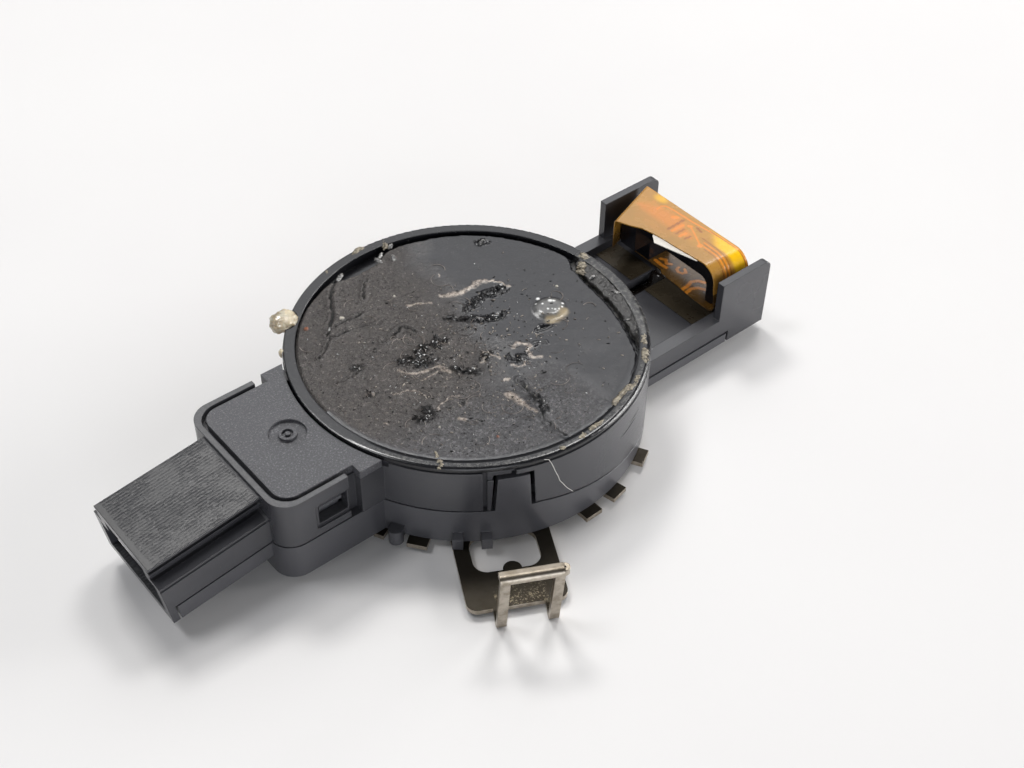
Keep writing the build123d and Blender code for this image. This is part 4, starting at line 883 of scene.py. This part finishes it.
def fold(far, near):
    """Section of the strip from the far flap's end to its end on the tray floor, as y and z."""
    far_middle, near_middle = far - far_radius, near_radius - near
    foot_middle, foot_top = floor_radius - near, strip_floor + floor_radius
    return (
        straight(far, flap_end, far, strip_top - far_radius, flap_cells)
        + bent(far_middle, strip_top - far_radius, far_radius, 0, far_cells)
        + straight(far_middle, strip_top, near_middle, strip_top, top_cells)
        + bent(near_middle, strip_top - near_radius, near_radius, 90, bend_cells)
        + straight(-near, strip_top - near_radius, -near, foot_top, side_cells)
        + bent(foot_middle, foot_top, floor_radius, 180, foot_cells)
        + straight(foot_middle, strip_floor, floor_run_end, strip_floor, floor_cells)
        + [(floor_run_end, strip_floor)]
    )


front_fold, back_fold = fold(6.5, 8.85), fold(9.4, 9.25)
stations = len(front_fold)
strip = bmesh.new()
across_cells = 96
bmesh.ops.create_grid(strip, x_segments=across_cells, y_segments=stations - 1, size=1)
strip_places = []
for vert in strip.verts:
    across = (vert.co.x + 1) / 2
    i = round((vert.co.y + 1) / 2 * (stations - 1))
    (fy, fz), (by, bz) = front_fold[i], back_fold[i]
    if i < foot_row:
        start = np.interp(fy, *zip(*front_edge))
        if i > side_row:
            start += 0.5 * (i - side_row) / side_cells
    else:
        start = np.interp(fy, *zip(*floor_edge))
    vert.co = (start + (back_edge - start) * across, fy + (by - fy) * across, fz + (bz - fz) * across)
    strip_places.append((i, vert.co.x, vert.co.y, vert.co.z))
strip_places = np.array(strip_places)
row, sx, sy, sz = strip_places.T
lengths = np.cumsum([0] + [math.dist(a, b) for a, b in zip(back_fold, back_fold[1:])])
along = np.where(row >= bend_row, 6.95 + lengths[row.astype(int)] - lengths[bend_row], -sy)
flat = np.stack([sx, along], 1)
on_floor = row > floor_row
under = np.stack([sx, sy], 1)
jitter = np.array([noise.fractal((a * 0.9, b * 0.9, c * 0.9), 1.0, 2.0, 3) for a, b, c in zip(sx, sy, sz)])


def drawn_lines(where, lines, keep):
    """Copper lines of a width and a path each, kept on one part of the strip."""
    found = np.zeros(len(where))
    for width, path in lines:
        found = np.maximum(found, 1 - ease(nearest(where, path), 0.45 * width, 0.62 * width))
    return found * keep


bright_lines = drawn_lines(flat, (
    (
        0.26,
        ((34.7, -4.7), (35.5, -4.9), (36.0, -4.5), (36.2, -3.0))
        + ((36.3, 0.0), (36.5, 2.0), (36.85, 5.0), (36.9, 16.0)),
    ),
    (0.5, ((35.35, 0.4), (35.5, 0.6))),
    (0.24, ((35.4, 0.6), (34.9, 1.7), (34.2, 3.0), (33.7, 4.0))),
    (0.6, ((33.5, 4.1), (33.7, 4.1))),
    (0.4, ((33.0, -0.25), (34.9, -0.25))),
    (0.42, ((33.0, 1.15), (34.0, 1.15))),
    (0.2, ((33.85, 4.6), (33.8, 6.6), (33.5, 9.0), (33.4, 16.0))),
    (0.2, ((34.45, 4.0), (34.4, 6.2), (34.05, 9.0), (34.0, 16.0))),
    (0.6, ((35.1, -2.2), (35.4, -1.9))),
), ~on_floor)
dark_lines = drawn_lines(flat, (
    (0.13, ((33.5, 4.9), (33.45, 6.6), (33.15, 9.0), (33.1, 16.0))),
    (0.13, ((34.15, 4.2), (34.1, 6.2), (33.8, 9.0), (33.7, 16.0))),
    (0.15, ((34.9, 3.2), (34.8, 5.8), (34.4, 9.0), (34.35, 16.0))),
    (0.1, ((36.7, 3.0), (36.75, 9.0), (36.75, 16.0))),
    (0.1, ((37.03, 3.0), (37.05, 9.0), (37.05, 16.0))),
    (0.35, ((32.9, -0.85), (35.7, -0.95))),
    (0.3, ((33.0, 0.45), (34.4, 0.45))),
    (0.3, ((33.1, 1.9), (34.0, 2.0))),
    (0.3, ((35.9, 1.2), (35.7, 2.2))),
), ~on_floor)
floor_lines = drawn_lines(under, (
    (0.5, ((33.9, 3.4), (33.8, 2.4), (33.9, 1.4))),
    (0.45, ((34.6, 3.2), (35.0, 2.6), (34.5, 2.0), (34.9, 1.5))),
    (0.4, ((35.2, 0.4), (34.7, 0.3), (34.5, -0.2), (34.7, -0.8), (35.2, -0.9), (35.5, -0.4))),
    (0.5, ((32.0, -3.1), (33.4, -3.0), (34.4, -2.7), (35.2, -3.1), (35.6, -3.9))),
    (0.5, ((32.0, -3.9), (33.4, -3.7), (34.2, -4.1), (34.7, -5.0))),
    (0.45, ((34.2, 6.6), (34.8, 5.6), (34.2, 4.6))),
), on_floor)
bright_lines = np.maximum(bright_lines, floor_lines)
# Light shining through the film from behind is painted bright yellow over the window and at the far end.
window_glow = ease(sx, 34.7, 35.3) * (1 - ease(sx, 36.6, 37.2) * 0.5)
window_glow = window_glow * ease(along + (sx - 36), 3.0, 5.5) * (1 - ease(along, 10.5, 14.0))
far_glow = (1 - ease(np.hypot((sx - 36.6) / 0.8, (along + 6.0) / 1.3), 0.3, 1.2)) * 0.7
backlit = (window_glow + far_glow) * ~on_floor
ruddy_reach = np.hypot((sx - 33.6) / 2.4, (along + 2.5) / 5.0) + 0.3 * jitter
ruddy = (1 - ease(ruddy_reach, 0.55, 1.15)) * ~on_floor
backing = (1 - ease(sx, 32.6, 33.9)) * ~on_floor
tail_middle, tail_half = 1.1, 0.95
tail_run = (
    (32.9, -8.125), (32.3, -8.125), (31.9, -8.3), (31.4, -9.4), (31.1, -9.62), (30.6, -9.62), (24.0, -9.62),
    (18.4, -9.62), (18.0, -9.5), (17.3, -7.7), (17.0, -7.55), (14.8, -7.55),
)
bmesh.ops.create_grid(strip, x_segments=2, y_segments=len(tail_run) - 1, size=1)
tail_verts = list(strip.verts)[len(strip_places):]
for vert in tail_verts:
    tx, tz = tail_run[round((vert.co.y + 1) / 2 * (len(tail_run) - 1))]
    vert.co = (tx, tail_middle + tail_half * vert.co.x, tz)
amber = Finish("flex amber", Specular_IOR_Level=0.55, Coat_Weight=0.3, Coat_Roughness=0.1)
sheen = amber.noise(0.6, detail=4)
speckle = amber.noise(3.0, detail=3, roughness=0.7)
reddish = amber.mix(speckle, tone(200, 120, 42), tone(222, 146, 56))
backed = amber.mix(sheen, tone(160, 118, 48), tone(184, 134, 56))
lit_through = amber.mix(sheen, tone(246, 184, 2), tone(255, 204, 4))
copper = amber.mix(speckle, tone(228, 128, 30), tone(250, 156, 46))
film_tone = amber.mix(sheen, tone(172, 122, 50), tone(200, 144, 50))
film_tone = amber.mix(amber.mask("ruddy"), film_tone, reddish)
film_tone = amber.mix(amber.mask("backing") * 0.75, film_tone, backed)
# Painted backlight.
film_tone = amber.mix(amber.mask("backlit"), film_tone, lit_through)
film_tone = amber.mix(amber.mask("bright") * 0.8, film_tone, copper)
film_tone = amber.mix(amber.mask("dark") * 0.8, film_tone, tone(150, 84, 24))
film_tone = amber.mix(amber.mask("shade"), film_tone, tone(26, 20, 16))
amber.paint(
    Base_Color=film_tone,
    Roughness=0.2 + sheen * 0.14,
    Normal=amber.bump(amber.mask("bright") * 0.5 + sheen * 0.5, strength=0.4, distance=0.05),
)
flex = piece("flex_strip", strip, amber)
lower = row > side_row + 10
under_flap = ease(-sz, 2.2, 4.5) * (row < 20) * 0.7
under_saddle = lower * (0.74 + 0.12 * jitter) * (1 - floor_lines)
flex_masks = dict(
    bright=bright_lines, dark=dark_lines, backlit=backlit,
    ruddy=ruddy, backing=backing, shade=np.clip(under_flap + under_saddle, 0, 1),
)
carry(flex, flex_masks, elsewhere=("shade",))
wall = flex.modifiers.new("thickness", "SOLIDIFY")
wall.thickness = strip_thickness * MM
wall.offset = 0
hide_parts("flex_circuit")

# ---- Saddle ----
# Black polished moulding that the strip is wrapped round: a block with an arch over the tray floor.
# It stands in the tray and lifts the humidity chip.
saddle = Finish("saddle black", Specular_IOR_Level=0.5)
saddle_tone = saddle.noise(0.5, detail=3)
saddle.paint(
    Base_Color=saddle.mix(saddle_tone, tone(16, 16, 20), tone(28, 28, 34)),
    Roughness=0.2 + saddle_tone * 0.1,
    Normal=saddle.bump(saddle_tone, strength=0.2, distance=0.05, edge=0.12),
)
dress("flex_support", saddle)

# ---- Tape ----
# White double-sided tape, 0.1 mm thick, that sticks the strip to the saddle.
# Its front edge is cut askew.
tape = Finish("tape white", Specular_IOR_Level=0.3)
tape_tone = tape.noise(2.5, detail=3)
tape.paint(
    Base_Color=tape.mix(tape_tone, tone(216, 208, 198), tone(246, 242, 234)),
    Roughness=0.5 + tape_tone * 0.2,
)
dress("support_tape", tape)

# ---- Cover film ----
# Thin smoke-brown film, one piece on the tray floor at each side of the slot.
# It is a little dusty.
smoke = Finish("film brown", Specular_IOR_Level=0.5)
smoke_tone = smoke.noise(0.35, detail=4)
smoke_dust = smoke.noise(4.0, detail=2, roughness=0.9).step(0.68, 0.74)
smoke_base = smoke.mix(smoke_tone, tone(40, 36, 30), tone(66, 57, 42))
smoke.paint(
    Base_Color=smoke.mix(smoke_dust * 0.4, smoke_base, tone(130, 124, 112)),
    Roughness=0.2 + smoke_tone * 0.15,
    Normal=smoke.bump(smoke_tone, strength=0.3, distance=0.08),
)
dress("cover_film", smoke)

# ---- Spring clip ----
# Stamped from 0.6 mm nickel-plated spring steel and hooked on posts under the cover.
# The plating is mottled. Its lower flat faces are painted dark as the reflection of the black body above them,
# with painted glints between the legs; the top of the bar is darker, and the cut edges and bends keep the
# bright metal colour.
arm_cos, arm_sin, arm_shift, leg_gap_half = 0.887, 0.4617, 0.18, 2.9
arm_level, bar_level = -10.0, -4.0
plating = Finish("clip steel", Metallic=1.0)
cx, cy, cz = plating.axes()
mottle = plating.noise(0.9, detail=5, roughness=0.65)
fine_pit = plating.noise(5.0, detail=3, roughness=0.7)
brushed = plating.noise(2.0, detail=3, stretch=(1.0, 1.0, 0.15))
flat_faces = abs(plating.upward()).step(0.6, 0.9)
lying_painted_dark = flat_faces * (cz < arm_level)
bar_top = flat_faces * (cz > bar_level)
from_arm = cx * arm_cos - cy * arm_sin - arm_shift
between_legs = (cx * cx + cy * cy).step(720.0, 860.0) * (abs(from_arm) < leg_gap_half)
painted_leg_glints = between_legs * plating.noise(3.4, detail=3, roughness=0.8).step(0.5, 0.66)
metal = plating.mix(mottle.step(0.35, 0.7), tone(190, 181, 168), tone(150, 140, 125))
# The lower flat faces are painted dark as a reflection of the black body.
metal = plating.mix(lying_painted_dark * 0.96, metal, plating.mix(mottle, tone(34, 31, 27), tone(50, 46, 39)))
# Painted glints on the arm between the legs.
metal = plating.mix(lying_painted_dark * painted_leg_glints * 0.6, metal, tone(150, 138, 116))
metal = plating.mix(bar_top * 0.6, metal, tone(104, 95, 82))
plating.paint(
    Base_Color=metal,
    Roughness=0.26 + mottle * 0.16 + fine_pit * 0.06 + lying_painted_dark * 0.16,
    Normal=plating.bump(fine_pit * 0.6 + brushed * 0.6, strength=0.3, distance=0.03, edge=0.12),
)
dress("spring_clip", plating)

# ---- Circuit board ----
# Green printed board, 1 mm thick, round with a nose into the connector block.
# It carries the sensor's parts under the optic and is soldered to the contact pins.


def plain(names, title, dark, pale, rough, scale, **constants):
    """These nodes take a finish with soft mottling of its colour, gloss and surface."""
    made = Finish(title, **constants)
    drift = made.noise(scale, detail=4)
    made.paint(
        Base_Color=made.mix(drift, tone(*dark), tone(*pale)),
        Roughness=rough + drift * 0.12,
        Normal=made.bump(drift, strength=0.3, distance=0.03, edge=0.06),
    )
    for name in names:
        dress(name, made)


plain(["circuit_board"], "board green", (18, 70, 44), (34, 104, 62), 0.3, 0.8)

# ---- Contact pins ----
# Three tinned square wires, straight in the hood and bent down through the board.
# They pass through holes in the wall behind the hood's socket.
pins = [f"contact_pin_{k}" for k in (1, 2, 3)]
plain(pins, "pin tin", (168, 166, 160), (206, 204, 198), 0.22, 1.6, Metallic=1.0)

# ---- Infrared emitters and photodiodes ----
# Four clear emitters, flat with a round lens on top, and two dark receivers of the reflected light.
# They are soldered to the board under the optic's lenses.
emitters = [f"ir_emitter_{k}" for k in (1, 2, 3, 4)]
plain(emitters, "emitter clear", (196, 202, 206), (226, 232, 236), 0.06, 1.2, Transmission_Weight=0.85)
plain(["photodiode_1", "photodiode_2"], "diode dark", (24, 16, 22), (44, 30, 40), 0.12, 1.2)

# ---- Light sensors ----
# Two small sensors in clear resin, one for daylight and one for the light ahead.
# They are soldered to the board.
light_sensors = ["ambient_light_sensor", "forward_light_sensor"]
plain(light_sensors, "sensor clear", (200, 200, 188), (228, 228, 220), 0.1, 1.2, Transmission_Weight=0.6)

# ---- Light shade ----
# Opaque matt black moulding with a well for each light and each receiver.
# It lies on the board and keeps the channels apart.
plain(["light_shade"], "shade black", (16, 16, 17), (28, 28, 29), 0.6, 5.0)

# ---- Chips ----
# Controller and voltage regulator on the board, humidity chip under the top of the strip.
# All are soldered, in black moulding compound.
chips = ["microcontroller", "voltage_regulator", "humidity_sensor"]
plain(chips, "chip black", (24, 24, 25), (40, 40, 41), 0.42, 4.0)

# ---- Choke, capacitors and resistors ----
# Grey ferrite drum, tan ceramic capacitors and black glazed resistors, the last two with tinned ends.
# They are soldered to the board.
plain(["filter_choke"], "choke ferrite", (48, 46, 45), (74, 71, 68), 0.5, 3.0)
plain(["buffer_capacitors"], "capacitor tan", (150, 116, 78), (184, 148, 104), 0.35, 2.0)
plain(["chip_resistors"], "resistor black", (20, 20, 22), (36, 36, 38), 0.35, 2.5)

# ---- Flex socket ----
# Cream moulded socket, soldered to the board at the tray side.
# The tail of the strip is pushed into its slot.
plain(["flex_socket"], "socket cream", (206, 196, 170), (230, 222, 200), 0.38, 1.4)
